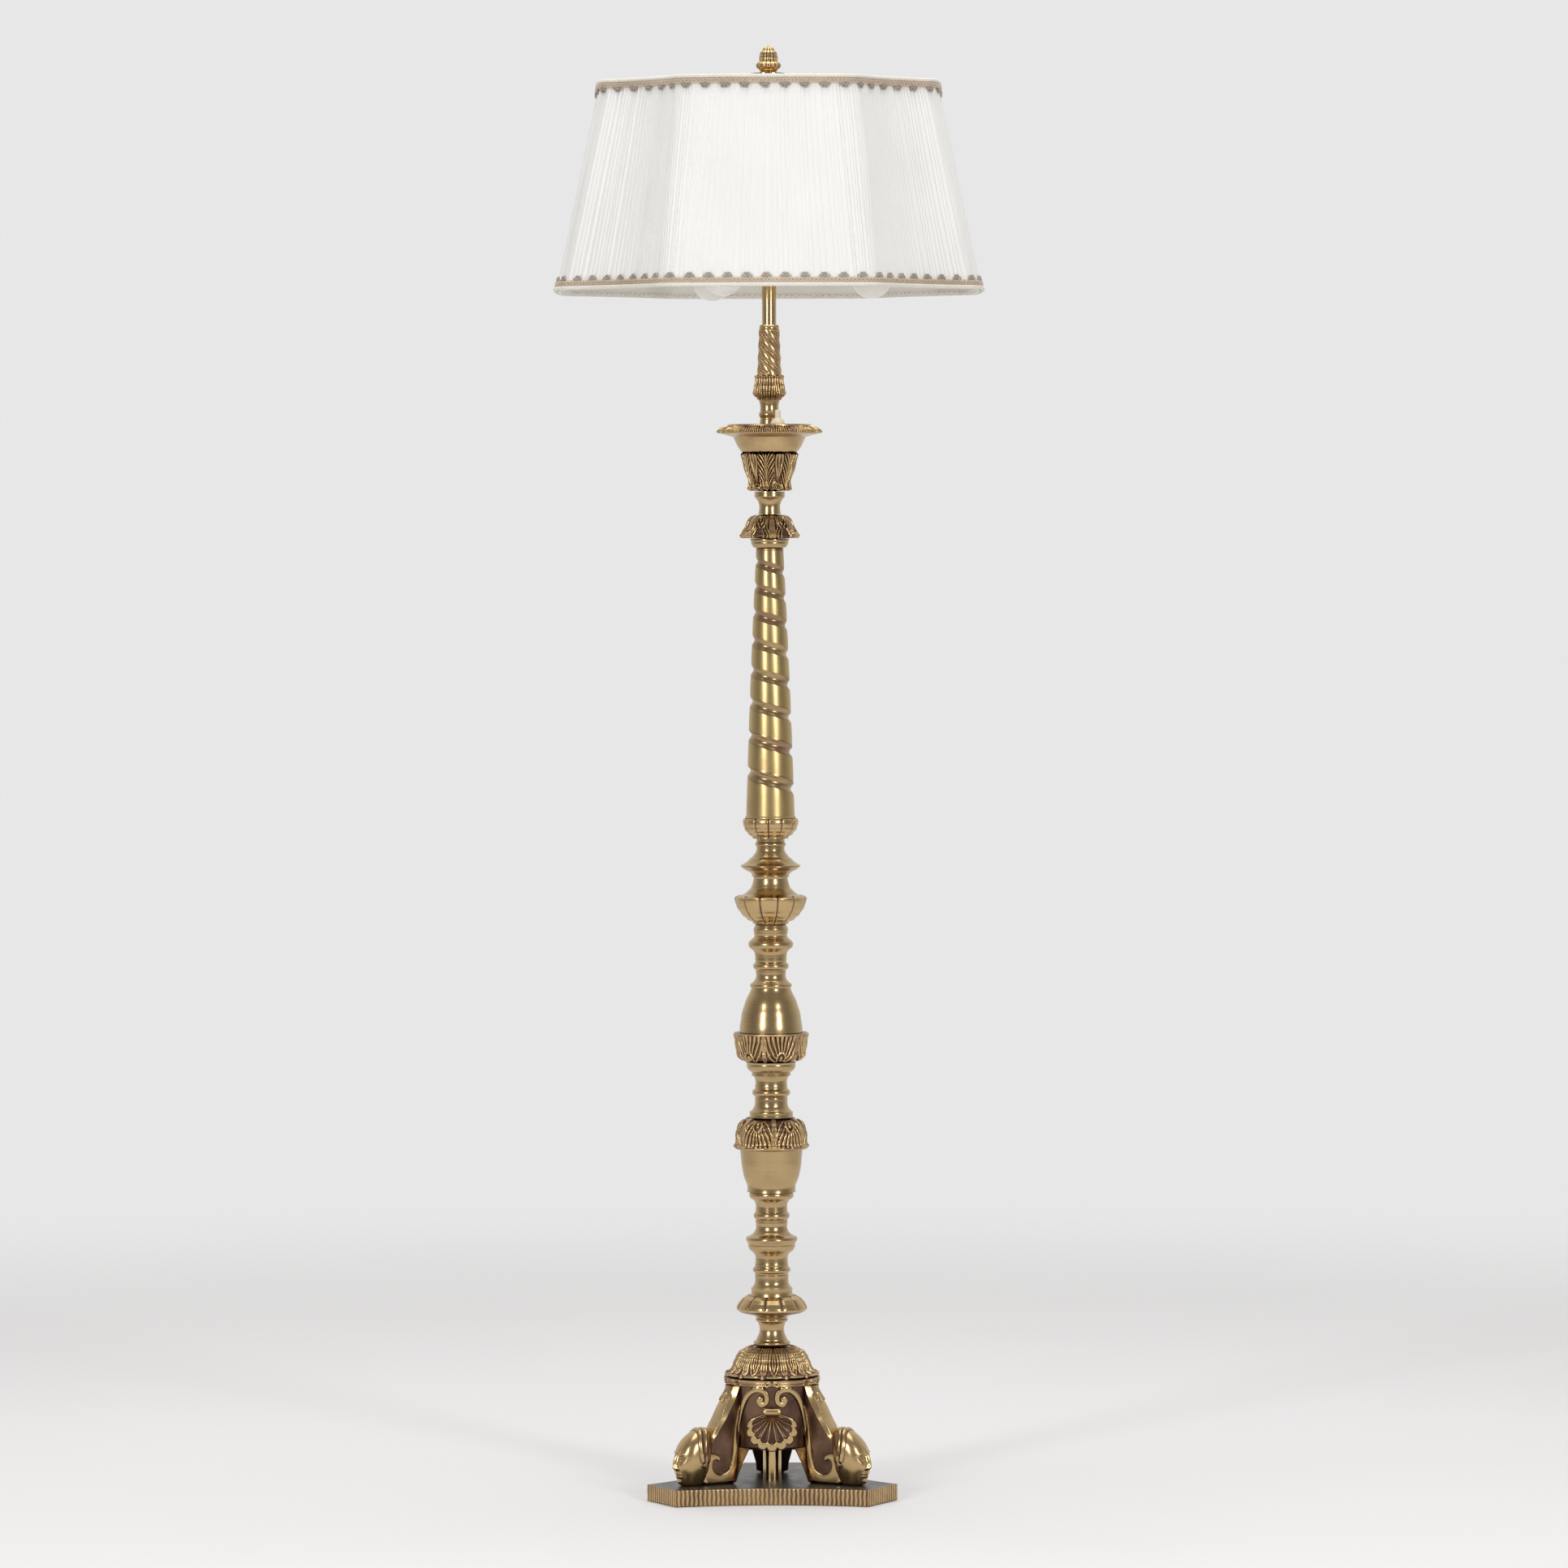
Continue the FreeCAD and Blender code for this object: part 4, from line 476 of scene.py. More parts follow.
FEATHERS = [[(0.9, foot, .8, .8), (2.5, foot + 6.0, 1.1, 1), (5.2, foot + 11.5, 1.3, 1), (8.4, foot + 16.5, 1.25, 1),
             (10.4, foot + 20.5, .7, .8)] for foot in (1.0, 8.0, 15.0, 22.0, 29.0, 36.0)]
ACANTHUS = both_ways(FEATHERS + [
    [(6.2, 1.0, .9, .8), (8.4, 6.0, 1.1, .9), (9.4, 11.0, 1.2, 1), (11.2, 16.0, .8, .8)],
    [(9.4, 1.0, 1.0, .8), (10.6, 5.0, 1.1, .9), (10.9, 9.5, 1.0, .9)],
    [(15.9, 13.0, .8, .9), (15.2, 20.0, 1.5, 1), (13.4, 29.0, 1.9, 1), (12.6, 37.0, 1.9, 1), (13.6, 45.0, 1.3, .9)],
    [(16.9, 19.0, .8, .7), (16.9, 31.0, 1.7, .8), (16.9, 45.0, 2.4, .8)],
    [(13.4, 9.6, 1.1, 1), (12.2, 6.8, 1.1, 1), (13.4, 4.0, 1.1, 1), (16.9, 2.8, 1.2, 1)],
    [(13.4, 9.6, 1.1, 1), (15.0, 10.6, 1.1, 1), (16.9, 10.2, 1.2, 1)],
    [(14.9, 6.8, 1.3, 1), (15.0, 6.7, 1.3, 1)],
]) + [[(0, 1.0, 1.2, .9), (0, 22, 1.5, 1), (0, 44, 1.2, 1)]]


def cup_tone(across, along, height):
    return np.maximum(0.74 * unit(1.0 - height), step_up(along, 43.5, 45.0))


ornament("carved_acanthus_cup", "acanthus_cup", 6, -7.6, ACANTHUS, 2.6, GILT, tone=cup_tone)

CUP_LEAVES = both_ways([
    [(0.0, 17.5, 1.2, .9), (3.6, 16.0, 1.6, 1), (5.8, 11.0, 1.7, 1), (5.2, 4.5, 1.4, .9)],
    [(2.6, 17.5, 1.1, .8), (4.0, 25.0, 1.8, 1), (5.6, 34.5, 2.3, 1)],
    [(5.4, 14.5, 1.1, .8), (8.2, 23.0, 1.8, 1), (11.2, 33.5, 2.5, 1)],
    [(7.0, 9.5, 1.1, .8), (11.8, 18.5, 1.8, 1), (15.4, 27.5, 2.0, 1), (16.8, 35.5, 2.5, 1)],
    [(7.4, 3.0, 1.2, .8), (13.4, 9.5, 1.8, 1), (18.0, 19.5, 1.8, 1), (20.2, 31.0, 1.8, .9)],
]) + [[(0, 11.6, 2.3, 1), (0, 7.0, 2.7, 1)], [(0, 19.0, 1.2, .9), (0, 26.0, 1.9, 1), (0, 36.5, 2.6, 1)]]


def rim_ground(start):
    def ground(across, along):
        return np.maximum(0.72 * step_up(along, start, start + 2.5), 0.62 * step_up(np.abs(across), 18.5, 20.5))
    return ground


ornament("carved_leaf_cup", "upper_leaf_cup", 6, 18, CUP_LEAVES, 2.4, GILT, rim_ground(34.0))
SKIRT_TOP = 41.0
SKIRT_LEAVES = [[(x, SKIRT_TOP - s, w, h) for x, s, w, h in strand] for strand in CUP_LEAVES]


def skirt_ground(across, along):
    return np.maximum(0.72 * step_up(-along, -6.0, -3.0), 0.70 * step_up(np.abs(across), 17.5, 19.5))


ornament("carved_leaf_skirt", "lower_leaf_skirt", 6, -25, SKIRT_LEAVES, 2.4, GILT, skirt_ground)

DOME_LEAVES = both_ways([
    [(0.4, 7.0, 1.1, .9), (4.2, 13.5, 1.8, 1), (6.2, 21.5, 2.1, 1), (5.4, 32.0, 2.3, .95), (3.6, 45.0, 2.2, .8)],
    [(0.2, 12.0, .9, .8), (1.8, 19.0, 1.5, .95), (1.6, 30.0, 1.6, .9), (0.2, 40.0, 1.4, .7)],
    [(13.4, 6.0, 1.4, .9), (10.6, 12.0, 1.7, 1), (10.4, 21.0, 1.8, 1), (10.0, 32.0, 2.2, .9), (8.4, 46.0, 2.4, .8)],
    [(13.7, 10.0, 1.2, .8), (13.7, 22.0, 1.9, 1), (13.7, 45.0, 2.4, .8)],
    [(13.7, 5.6, 1.6, 1), (13.7, 0.6, 2.4, 1)],
    [(0, 2.8, 2.5, 1), (5.0, 2.8, 2.4, 1), (8.2, 2.8, 1.6, .95)],
])
ornament("carved_dome", "acanthus_dome", 12, 3, DOME_LEAVES, 2.0, GILT)

CUP_BLADES = both_ways([
    [(3.1, 1.0, 1.0, .8), (3.0, 9.0, 1.3, 1), (4.0, 19.0, 1.2, 1), (3.4, 27.5, 1.6, 1)],
    [(6.2, 2.0, 1.0, .8), (6.4, 10.0, 1.3, 1), (7.6, 20.0, 1.2, .9), (7.2, 28.0, 1.8, 1)],
    [(9.7, 1.0, 1.1, .8), (9.7, 12.0, 1.2, .9), (9.7, 20.0, 1.0, .8)],
    [(8.0, 29.0, 1.4, 1), (9.8, 31.0, 1.6, 1)],
]) + [[(0, 1.0, 1.1, .9), (0, 12, 1.3, 1), (0.5, 22, 1.2, 1), (0, 29, 1.6, 1)]]
ornament("carved_small_cup", "small_leaf_cup", 6, -10, CUP_BLADES, 1.7, GILT, rim_ground(28.5), crease=0)
ornament("fluted_bowl", "fluted_cup", 12, 10.5, [], 1.2, GILT, lobes)
ornament("reeded_bowl_lobes", "reeded_bowl", 12, -3, [], 1.3, GILT, lobes)


def dish_lobes(across, along):
    edge = np.abs(across) / np.abs(across).max()
    return 1.0 - step_up(along, 13.0, 14.5) * edge ** 7


def dish_tone(across, along, height):
    return np.maximum(0.8 * (1.0 - height), 0.55 * step_up(-along, -12.5, -10.0))


DISH = np.array([(28, 202), (34, 203.5), (38.5, 206), (39.2, 208), (38.8, 210.5), (36.5, 214.5), (32.75, 219),
                 (27.5, 222)]).T
turned("gadrooned_dish", evenly(*DISH, 0.4), dish_lobes, 12, 3, 1.1, GILT, node="gadroon_dish", tone=dish_tone)

TIE = both_ways([
    [(-6.4, 1.2, 1.5, 1), (0, 4.7, 1.6, 1), (6.4, 8.2, 1.5, 1)],
    [(-6.8, 1.4, .9, .8), (-7.2, 4.7, .9, .8), (-6.8, 8.0, .9, .8)],
    [(40.0, 1.0, 1.1, 1), (39.6, 4.7, 1.2, 1), (40.4, 8.4, 1.1, 1), (44.4, 8.6, 1.1, 1), (47.4, 7.6, 1.1, .9)],
    [(40.0, 1.0, 1.1, 1), (44.0, 0.8, 1.1, 1), (47.4, 2.0, 1.1, .9), (46.6, 5.0, 1.0, .8)],
    [(50.2, 0.6, 1.4, .9), (49.8, 5.0, 1.6, 1), (51.6, 8.8, 1.5, 1)],
    [(54.4, 1.0, 1.8, .8), (54.8, 8.0, 1.8, .8)],
])


def reeds(across, along):
    bars = rounded(along, 2.3, 1.6) + rounded(along, 6.4, 1.9)
    clear = step_up(-np.abs(across), -40.5, -39.0) * step_up(np.abs(across), 6.5, 8.0)
    return 0.75 * bars * clear + 0.15


ornament("ribboned_band", "ribbon_band", 3, 0, TIE, 1.5, GILT, reeds)


# The spiral column: one round coil whose turns widen towards the foot, with a shiny hollow between them.
COIL = silhouette("spiral_column", 0.6)
COIL_TOP, COIL_PITCH, COIL_GROWTH = 1033.0, 26.3, 0.062


def coil_share(across, along):
    """How far round the coil a point is, from 0 in the middle of the hollow to 1 at the next one below,
    how far that is from the nearest hollow, and the drop from the column's top."""
    drop = COIL_TOP - np.interp(along, COIL[2], COIL[1])
    turns = np.log(np.maximum(COIL_PITCH + COIL_GROWTH * drop, 1.0) / COIL_PITCH) / COIL_GROWTH
    share = (turns - (across / COIL[0].max() + math.pi / 2) / math.tau) % 1.0
    return share, np.minimum(share, 1.0 - share), drop


def coil_relief(across, along):
    share, off, drop = coil_share(across, along)
    half = 0.20 - 0.03 * step_up(drop, 60.0, 260.0)
    hollow = np.cos(unit(off / half) * math.pi / 2) ** 1.4
    crown = 0.16 * unit((0.5 - off) / 0.5) ** 2
    ledge = 0.20 * step_up(drop, 90.0, 200.0) * hump(share, 0.86, 0.03)
    depth = 0.62 + 0.38 * step_up(drop, 0.0, 250.0)
    ends = np.minimum(step_up(along, 16.0, 30.0), step_up(COIL[2].max() - along, 3.0, 16.0))
    return 1.0 - ends * (depth * hollow + crown - ledge)


def coil_tone(across, along, height):
    _, off, drop = coil_share(across, along)
    brown = 0.34 * step_up(-off, -0.215, -0.175) - 0.10 * hump(off, 0.23, 0.012)
    return unit(brown * step_up(along, 16.0, 30.0) + 0.30 * step_up(-drop, -60.0, 30.0))


turned("spiral_coil", COIL, coil_relief, 1, 0, 3.0, COLUMN, node="spiral_column",
       columns=540, tone=coil_tone, crease=0)


def rope_relief(across, along):
    angle = across / ROPE[0].max()
    share = (4.0 * (along / 55.0 + angle / math.tau)) % 1.0
    thick, thin = rounded(share, 0.36, 0.37), 0.72 * rounded(share, 0.87, 0.14)
    ends = np.minimum(step_up(along, 0.0, 3.0), step_up(ROPE[2].max() - along, 0.0, 3.0))
    return 1.0 - ends * (1.0 - np.maximum(thick, thin))


ROPE = silhouette("rope_sleeve", 0.4)
turned("rope_twist", ROPE, rope_relief, 1, 0, 2.3, GILT, node="rope_sleeve", columns=480, crease=0,
       tone=lambda across, along, height: 0.75 * unit(1.0 - height))


# The drip pan: a plain bowl with a rim of fans and curled ovals, and its dish inside.
PAN_RADIUS = 58.6


def pan_section():
    corners = ((30.0, 1152.5), (31.2, 1153.5), (34.8, 1158.5), (37.4, 1164.0), (40.0, 1169.5), (46.0, 1171.2),
               (57.8, 1174.0), (PAN_RADIUS, 1175.6), (56.8, 1177.6), (52.0, 1180.6), (47.0, 1182.5), (45.0, 1183.5),
               (44.0, 1183.2), (42.3, 1178.3), (41.0, 1177.6), (14.0, 1177.5))
    radii, levels = np.array(corners).T
    return evenly(radii, levels, 0.4)


PAN_RIM = both_ways([
    [(2.6, 36.5, 1.1, 1), (2.0, 44.0, 1.0, 1), (1.7, 53.0, .9, .9)],
    [(5.4, 36.5, 1.2, 1), (4.4, 44.0, 1.0, 1), (3.9, 53.0, .9, .9)],
    [(8.2, 36.5, 1.2, 1), (7.2, 42.0, 1.0, 1), (7.6, 48.0, 1.0, 1), (9.8, 53.0, .9, .8)],
    [(10.9, 36.8, 1.2, 1), (9.9, 42.5, 1.0, .95), (10.8, 48.0, .9, .9)],
    [(13.6, 38.0, .8, .7), (12.4, 43.0, .9, .75), (14.6, 50.0, .8, .7)],
    [(15.1, 40.5, .8, .6), (14.2, 44.0, .7, .6), (15.1, 47.0, .7, .6)],
]) + [[(0, 36.5, 1.1, 1), (0, 44.0, .9, 1), (0, 53.0, .8, .9)]]


def pan_plain(across, along):
    return np.maximum(step_up(-along, -36.8, -34.6), step_up(along, 53.2, 54.4)) + 0.0 * across


def pan_tone(across, along, height):
    return np.maximum(0.8 * unit(1.0 - height), 0.18 * step_up(-along, -34.0, -30.0))


turned("drip_pan_bowl", pan_section(), tiled(PAN_RIM, math.tau / 12 * PAN_RADIUS, pan_plain), 12, -17.5, 2.4, GILT,
       node="drip_pan", columns=960, tone=pan_tone)


def acorn_relief(across, along):
    share = np.abs(across) / np.abs(across).max()
    length = ACORN[2].max()
    collar = hump(along, 0.27 * length, 2.9)
    below = step_up(along, 0.36 * length, 0.42 * length) * step_up(-along, -length, -0.9 * length)
    flute = 1.0 - 0.75 * share ** 4 * below
    scallop = 1.0 - 0.9 * share ** 3
    return flute * (1.0 - collar) + scallop * collar


ACORN = silhouette("finial", 0.25)
turned("fluted_acorn", ACORN, acorn_relief, 14, 0, 1.3, GILT, node="finial", columns=560, body="finial", bore=1.4)


# ---------------------------------------------------------------- the tripod
CROWN_FOOT, CROWN_TOP = 54.5, 125.0
LEG_SIDE = 11.0
SCROLL = [(42.2, 40.5, 2.9, 1), (40.5, 51.8, 2.9, 1), (38.9, 73.0, 2.9, 1), (36.2, 90.4, 2.9, 1),
          (32.1, 106.2, 3.0, 1), (26.7, 116.7, 3.2, 1), (19.5, 122.0, 3.0, 1), (12.2, 122.0, 3.0, 1),
          (6.8, 118.4, 2.9, 1), (5.7, 112.3, 2.9, 1), (7.7, 107.4, 3.0, 1), (12.0, 106.2, 2.8, 1),
          (14.6, 108.4, 2.2, 1)]
BALL = [(13.4, 111.4, 4.4, 1), (13.6, 110.8, 4.4, 1)]
HOOK = [(42.2, 41.0, 2.9, 1), (43.2, 34.5, 3.6, 1), (47.0, 28.0, 5.0, 1), (54.0, 23.0, 6.5, 1),
        (63.0, 23.5, 7.5, 1), (70.5, 29.5, 8.5, 1), (72.6, 38.0, 8.0, 1), (70.0, 45.5, 6.4, 1),
        (64.5, 48.6, 4.2, 1), (60.5, 48.0, 2.8, 1), (58.4, 45.4, 1.3, .9)]


def around_crown(strand):
    """A strand given by its distance from the panel's middle, laid round the crown."""
    return [(53.4 * math.asin(min(x / 51.0, 0.97)), z - CROWN_FOOT + 3.3, w, h) for x, z, w, h in strand]


def crown_section():
    radii, levels = np.array([(45.0, CROWN_FOOT), (49.0, CROWN_FOOT + 0.8), (49.6, CROWN_TOP - 1.0),
                              (51.0, CROWN_TOP)]).T
    return evenly(radii + 2.4, levels, 0.4)


def raised(strands):
    """Strands with flat bright tops and steep sides."""
    return unit(1.7 * strands) * 0.75 + 0.25 * strands


def crown_relief(across, along):
    return raised(carved(across, along, both_ways([around_crown(SCROLL[2:]), around_crown(BALL)])))


def crown_tone(across, along, height):
    return 0.74 * (1.0 - step_up(height, 0.2, 0.5)) + 0.03


turned("scrolled_crown", crown_section(), crown_relief, 3, 0, 3.2, GILT, columns=1080, bore=36.0, tone=crown_tone)
LEVELS = np.linspace(18.0, 125.0, 234)


def by_level(*pairs):
    """Values at every level of a leg, from pairs of (level, value)."""
    levels, values = np.array(pairs, float).T
    return np.interp(LEVELS, levels, values)[:, None]


def leg(bearing):
    """One leg, a channel open to the middle: dark sides with a gold scroll, a bright strap outside,
    and inner edges that flare towards the panels."""
    level = LEVELS[:, None]
    inner_side = LEG_SIDE - 2.2
    edge = by_level((18, 90), (50, 92), (58, 87.5), (66, 83), (74, 77.5), (82, 72), (90.3, 66.3), (110, 55),
                    (125, 49.5))
    bend_in = by_level((18, 54.2), (30, 50.7), (42, 50.1), (57, 50.1), (62, 44), (125, 44))
    reach = bend_in + np.linspace(0.0, 1.0, 150)[None, :] * (edge - bend_in)
    flat = 0.866 * reach - 0.5 * LEG_SIDE  # across the panel beside it, which is turned by 60 degrees
    edging = step_up(reach, edge - 2.6, edge - 0.8) * step_up(level, 50.0, 58.0)
    relief = raised(carved(flat, level + 0.0 * flat, [SCROLL, HOOK])) * step_up(reach, bend_in, bend_in + 1.0)
    side = inner_side + 3.2 * relief + 1.8 * edging * (1.0 - relief)
    tone_side = 0.70 * (1.0 - np.maximum(step_up(relief, 0.2, 0.5), edging)) + 0.02

    strap = by_level((18, 90.5), (22, 94), (47, 94), (52, 89), (66, 85), (74, 81.5), (82, 77), (90, 71.6),
                     (101, 67), (110, 62.5), (117, 58), (125, 54.5))
    width = by_level((18, 9), (66, 9), (82, 10.2), (90, 10.8), (110, 7.5), (125, 6.5))
    face = np.linspace(-1.0, 1.0, 61)[None, :]
    bend = unit((np.abs(face) - 0.72) / 0.26)
    span = np.where(np.abs(face) < 0.72, face / 0.72 * width, np.sign(face) * (width + (12.6 - width) * bend))
    drops = carved(span, level + 0.0 * span, both_ways([
        [(1.4, 126, 2.6, 1), (4.0, 119, 2.4, 1), (6.6, 112.5, 2.3, 1), (7.4, 110.4, 1.6, .9)]])
        + [[(0, 126, 2.6, 1), (0, 117, 2.6, 1), (0, 109.0, 2.0, 1)]])
    front = strap + (edge - strap) * bend - 0.9 * unit(np.abs(face) / 0.72) ** 2 + 2.2 * drops
    tone_front = 0.10 + 0.35 * step_up(level, 108.0, 112.0) * (1.0 - drops)
    tone_front = np.where((bend > 0.02) & (bend < 0.98), 0.0, tone_front)

    inner = by_level((18, 57.8), (30, 53.9), (42, 50.8), (50, 46.9), (57, 43.5), (62, 43.9), (125, 43.9))
    wing = by_level((18, 17.5), (30, 18.5), (42, 22), (50, 23), (57, 24), (62, 9), (125, 9))
    run = np.linspace(0.0, 1.0, 9)[None, :-1]
    facet, facet_side = inner + run * (bend_in - inner), wing + run * (inner_side - wing)
    deep = bend_in + np.minimum(22.0, 0.45 * (edge - bend_in))
    hollow = np.concatenate([inner - 1.5, bend_in - 1.9, deep], 1)
    hollow_side = np.concatenate([wing - 0.7, 7.0 + 0.0 * wing, 6.0 + 0.0 * wing], 1)
    back = (slice(None), slice(None, None, -1))
    reaches = np.concatenate([facet, reach, front, reach[back], facet[back], hollow, hollow[back]], 1)
    sides = np.concatenate([-facet_side, -side, span, side[back], facet_side[back], hollow_side,
                            -hollow_side[back]], 1) * (1.0 - 0.30 * step_up(-level, -21.0, -18.0))
    # The inside of the channel, open to the middle, is coloured darkest: painted shade.
    strip, channel_shade = 0.30 + 0.0 * facet, 1.0 + 0.0 * hollow
    tones = np.concatenate([strip, tone_side, tone_front, tone_side[back], strip, channel_shade, channel_shade], 1)
    ends = standing(np.array([80.0, 50.0]), 0.0, np.array([18.0, 125.0]), bearing)
    return closed_grid(standing(reaches, sides, level, bearing), ends, tones, (0.5, 0.5))


def outward(thing):
    """Turns every face of a closed mesh outwards."""
    work = bmesh.new()
    work.from_mesh(thing.data)
    bmesh.ops.recalc_face_normals(work, faces=work.faces)
    work.to_mesh(thing.data)
    work.free()
    return thing


def threefold(name, node, shape, bearings, crease):
    """The same shape at three bearings, as one piece."""
    spots, faces, tones = merged([shape(bearing) for bearing in bearings])
    outward(piece(name, spots, faces, GILT, node, tones=tones, crease=crease))


LEG_BEARINGS = [math.radians(angle) for angle in (90.0, 210.0, 330.0)]
threefold("tripod_legs", "tripod_casting", leg, LEG_BEARINGS, 40)


# Three heads on the feet, all alike: a cap with a rolled edge round a calm, plain face.
def bulges(side, rise, *shapes):
    """Soft bumps and dents, each given by its place, its height, and its half width and half height."""
    return sum(height * hump(side, x, wide) * hump(rise, z, high) for x, z, height, wide, high in shapes)


def lid(apart, rise, level, bow, half):
    """A thin curved ridge over or under the eye."""
    return hump(rise + bow * (apart - 7.0) ** 2, level, 0.6) * np.exp(-((apart - 7.0) / half) ** 4)


def head(bearing):
    rows, columns = 180, 240
    latitude = ((np.arange(rows) + 0.5) / rows - 0.5)[:, None] * math.pi
    turn = (np.arange(columns) / columns * math.tau)[None, :]
    round_row = np.cos(latitude) ** np.where(latitude < 0.0, 0.40, 0.62)
    forward = 19.5 * round_row * np.sign(np.cos(turn)) * np.abs(np.cos(turn)) ** 0.84
    side = 18.0 * round_row * np.sign(np.sin(turn)) * np.abs(np.sin(turn)) ** 0.84
    rise = 31.2 * np.sin(latitude) + 0.0 * turn
    side = side * (1.0 - 0.17 * step_up(-rise, 2.0, 30.0)) * (1.0 - 0.10 * step_up(rise, 14.0, 31.0))
    front = step_up(np.cos(turn) + 0.0 * latitude, 0.0, 0.55)
    apart = np.abs(side)
    brow = 6.6 - 0.035 * (apart - 6.0) ** 2
    face = bulges(apart, rise, (0, -2.0, 3.4, 2.2, 8.5), (0, -9.6, 3.6, 2.8, 3.0), (3.1, -10.6, 1.8, 1.5, 1.7),
                  (6.8, 1.6, -2.9, 4.4, 3.6), (7.0, 0.9, 2.2, 2.8, 1.9), (7.4, brow, 1.5, 5.6, 1.5),
                  (9.0, -8.5, 1.6, 5.0, 5.5), (5.0, -14.0, -0.7, 1.2, 3.0), (0, -16.4, 1.6, 4.6, 1.2),
                  (0, -19.6, 1.8, 3.8, 1.4), (0, -18.0, -1.1, 5.2, 0.55), (0, -22.6, -1.0, 4.0, 1.3),
                  (0, -27.0, 2.2, 5.4, 3.4), (0, -13.6, -0.5, 0.8, 1.5))
    face += lid(apart, rise, 2.9, 0.10, 3.6) + 0.5 * lid(apart, rise, -0.9, -0.06, 3.4)
    edge = forward - 0.34 * rise + 3.0
    lower = step_up(rise, -7.0, -2.0)
    roll = hump(edge, 0.0, 1.7) * lower
    cap = step_up(-edge, 0.0, 1.2) * lower
    ear = np.sqrt(((forward + 5.4) / 3.4) ** 2 + ((rise + 1.5) / 6.2) ** 2)
    ear = hump(ear, 1.0, 0.26) * step_up(apart, 9.0, 12.0)
    seam = hump(forward, -10.0, 0.8) * step_up(-rise, -16.0, -8.0)
    fold = hump(edge + 6.5 + 1.2 * np.sin(turn * 5.0), 0.0, 0.9) * cap * step_up(rise, 4.0, 12.0)
    swell = 0.9 * cap + 1.9 * roll + 1.3 * ear * (1.0 - roll) - 1.0 * seam + 0.6 * fold
    scale = 1.0 + swell / np.sqrt(forward ** 2 + side ** 2 + rise ** 2)
    forward = forward * scale + face * front - 0.0108 * np.maximum(rise + 5.0, 0.0) ** 2
    points = standing(102.0 + forward, side * scale, 48.5 + np.maximum(rise * scale, -30.5), bearing)
    ends = np.stack([points[0].mean(0), points[-1].mean(0)])
    sunk = bulges(apart, rise, (7.0, 3.2, 0.55, 3.8, 0.9), (0, -18.0, 0.75, 4.8, 0.6),
                  (4.4, -12.0, 0.5, 1.2, 1.2)) * front
    sunk += (0.75 * hump(edge, 2.6, 0.9) + 0.6 * hump(edge, -2.6, 0.9)) * lower
    sunk += 0.8 * seam + 0.25 * cap * (1.0 - roll)
    return closed_grid(points, ends, unit(sunk), (0.2, 0.2))


threefold("foot_heads", "foot_masks", head, LEG_BEARINGS, 0)

SHELL_HALF, SHELL_MIDDLE, SHELL_RISE, SHELL_TURN = 28.5, 79.4, 24.4, 28.0
HINGE, SHELL_BACK, FAN = 95.0, -48.0, 0.80


def shell(bearing):
    """A scallop shell between two legs: nine dark flutes, thin ribs and a thick gold edge, under a small cushion."""
    rows, columns = 74, 432
    spin = (np.arange(columns) / columns)[None, :]
    fan = unit(spin / FAN)
    angle = math.radians(SHELL_TURN - 236.0) + fan * math.radians(236.0)
    top = unit((spin - FAN) / (1.0 - FAN))
    over = spin > FAN
    start = math.radians(SHELL_TURN)
    edge_x = np.where(over, SHELL_HALF * math.cos(start) * (1.0 - 2.0 * top), SHELL_HALF * np.cos(angle))
    edge_z = np.where(over, SHELL_MIDDLE + SHELL_RISE * math.sin(start) + 6.0 * np.sin(top * math.pi),
                      SHELL_MIDDLE + SHELL_RISE * np.sin(angle))
    within = np.abs(fan * 9.0 % 1.0 - 0.5) * 2.0
    scallop = np.where(over, 1.0, 1.0 - 0.11 * within ** 3)
    share = np.linspace(0.02, 1.0, rows)[:, None]
    back = np.array([0.99, 0.5, 0.02])[:, None]
    x, back_x = (part * scallop * edge_x for part in (share, back))
    z, back_z = (HINGE + part * scallop * (edge_z - HINGE) for part in (share, back))
    rim = unit(1.5 * rounded(share, 0.885, 0.125)) * np.where(over, 0.6, 1.0)
    rib = np.exp(-((1.0 - within) * np.maximum(share, 0.25) / 0.17) ** 4) * np.where(over, 0.2, 1.0)
    height = np.maximum(np.maximum(0.35 * within ** 2 * share, 0.60 * rib * step_up(share, 0.05, 0.3)), rim)
    swell = 6.0 * np.sin(share * math.pi * 0.62) * (1.0 - 0.25 * ((x / SHELL_HALF) ** 2))
    y = -(48.6 + swell + 4.2 * height - 2.5 * step_up(share, 0.96, 1.0))
    tone = unit(1.0 - np.maximum(1.3 * rim, 0.8 * rib)) * 0.9
    tone = np.where(share < 0.12, 0.8, tone)
    points = np.stack([np.concatenate([x, back_x]), np.concatenate([y, np.full(back_x.shape, SHELL_BACK)]),
                       np.concatenate([z, back_z])], -1)
    ends = np.array([[0.0, y[0].mean(), HINGE], [0.0, SHELL_BACK, HINGE]])
    shape = closed_grid(points, ends, np.concatenate([tone, np.full(back_x.shape, 0.9)]), (0.8, 0.9))
    bar = np.stack([np.linspace(-9.4, 9.4, 40), np.full(40, -55.6), np.full(40, 99.2)], -1)
    cushion = tube(bar, 4.1 - 1.0 * np.abs(np.linspace(-1, 1, 40)) ** 4, 20)
    spots, faces, tones = merged([shape, cushion])
    return standing(*spots.T, bearing - FRONT), faces, tones


threefold("scallop_shells", "shell_panels", shell, [FRONT, math.radians(30.0), math.radians(150.0)], 0)


# ---------------------------------------------------------------- the plate
PLATE_TOP, PLATE_REACH, CORNER_HALF, PLATE_BOW = 18.0, 140.6, 32.0, 16.0


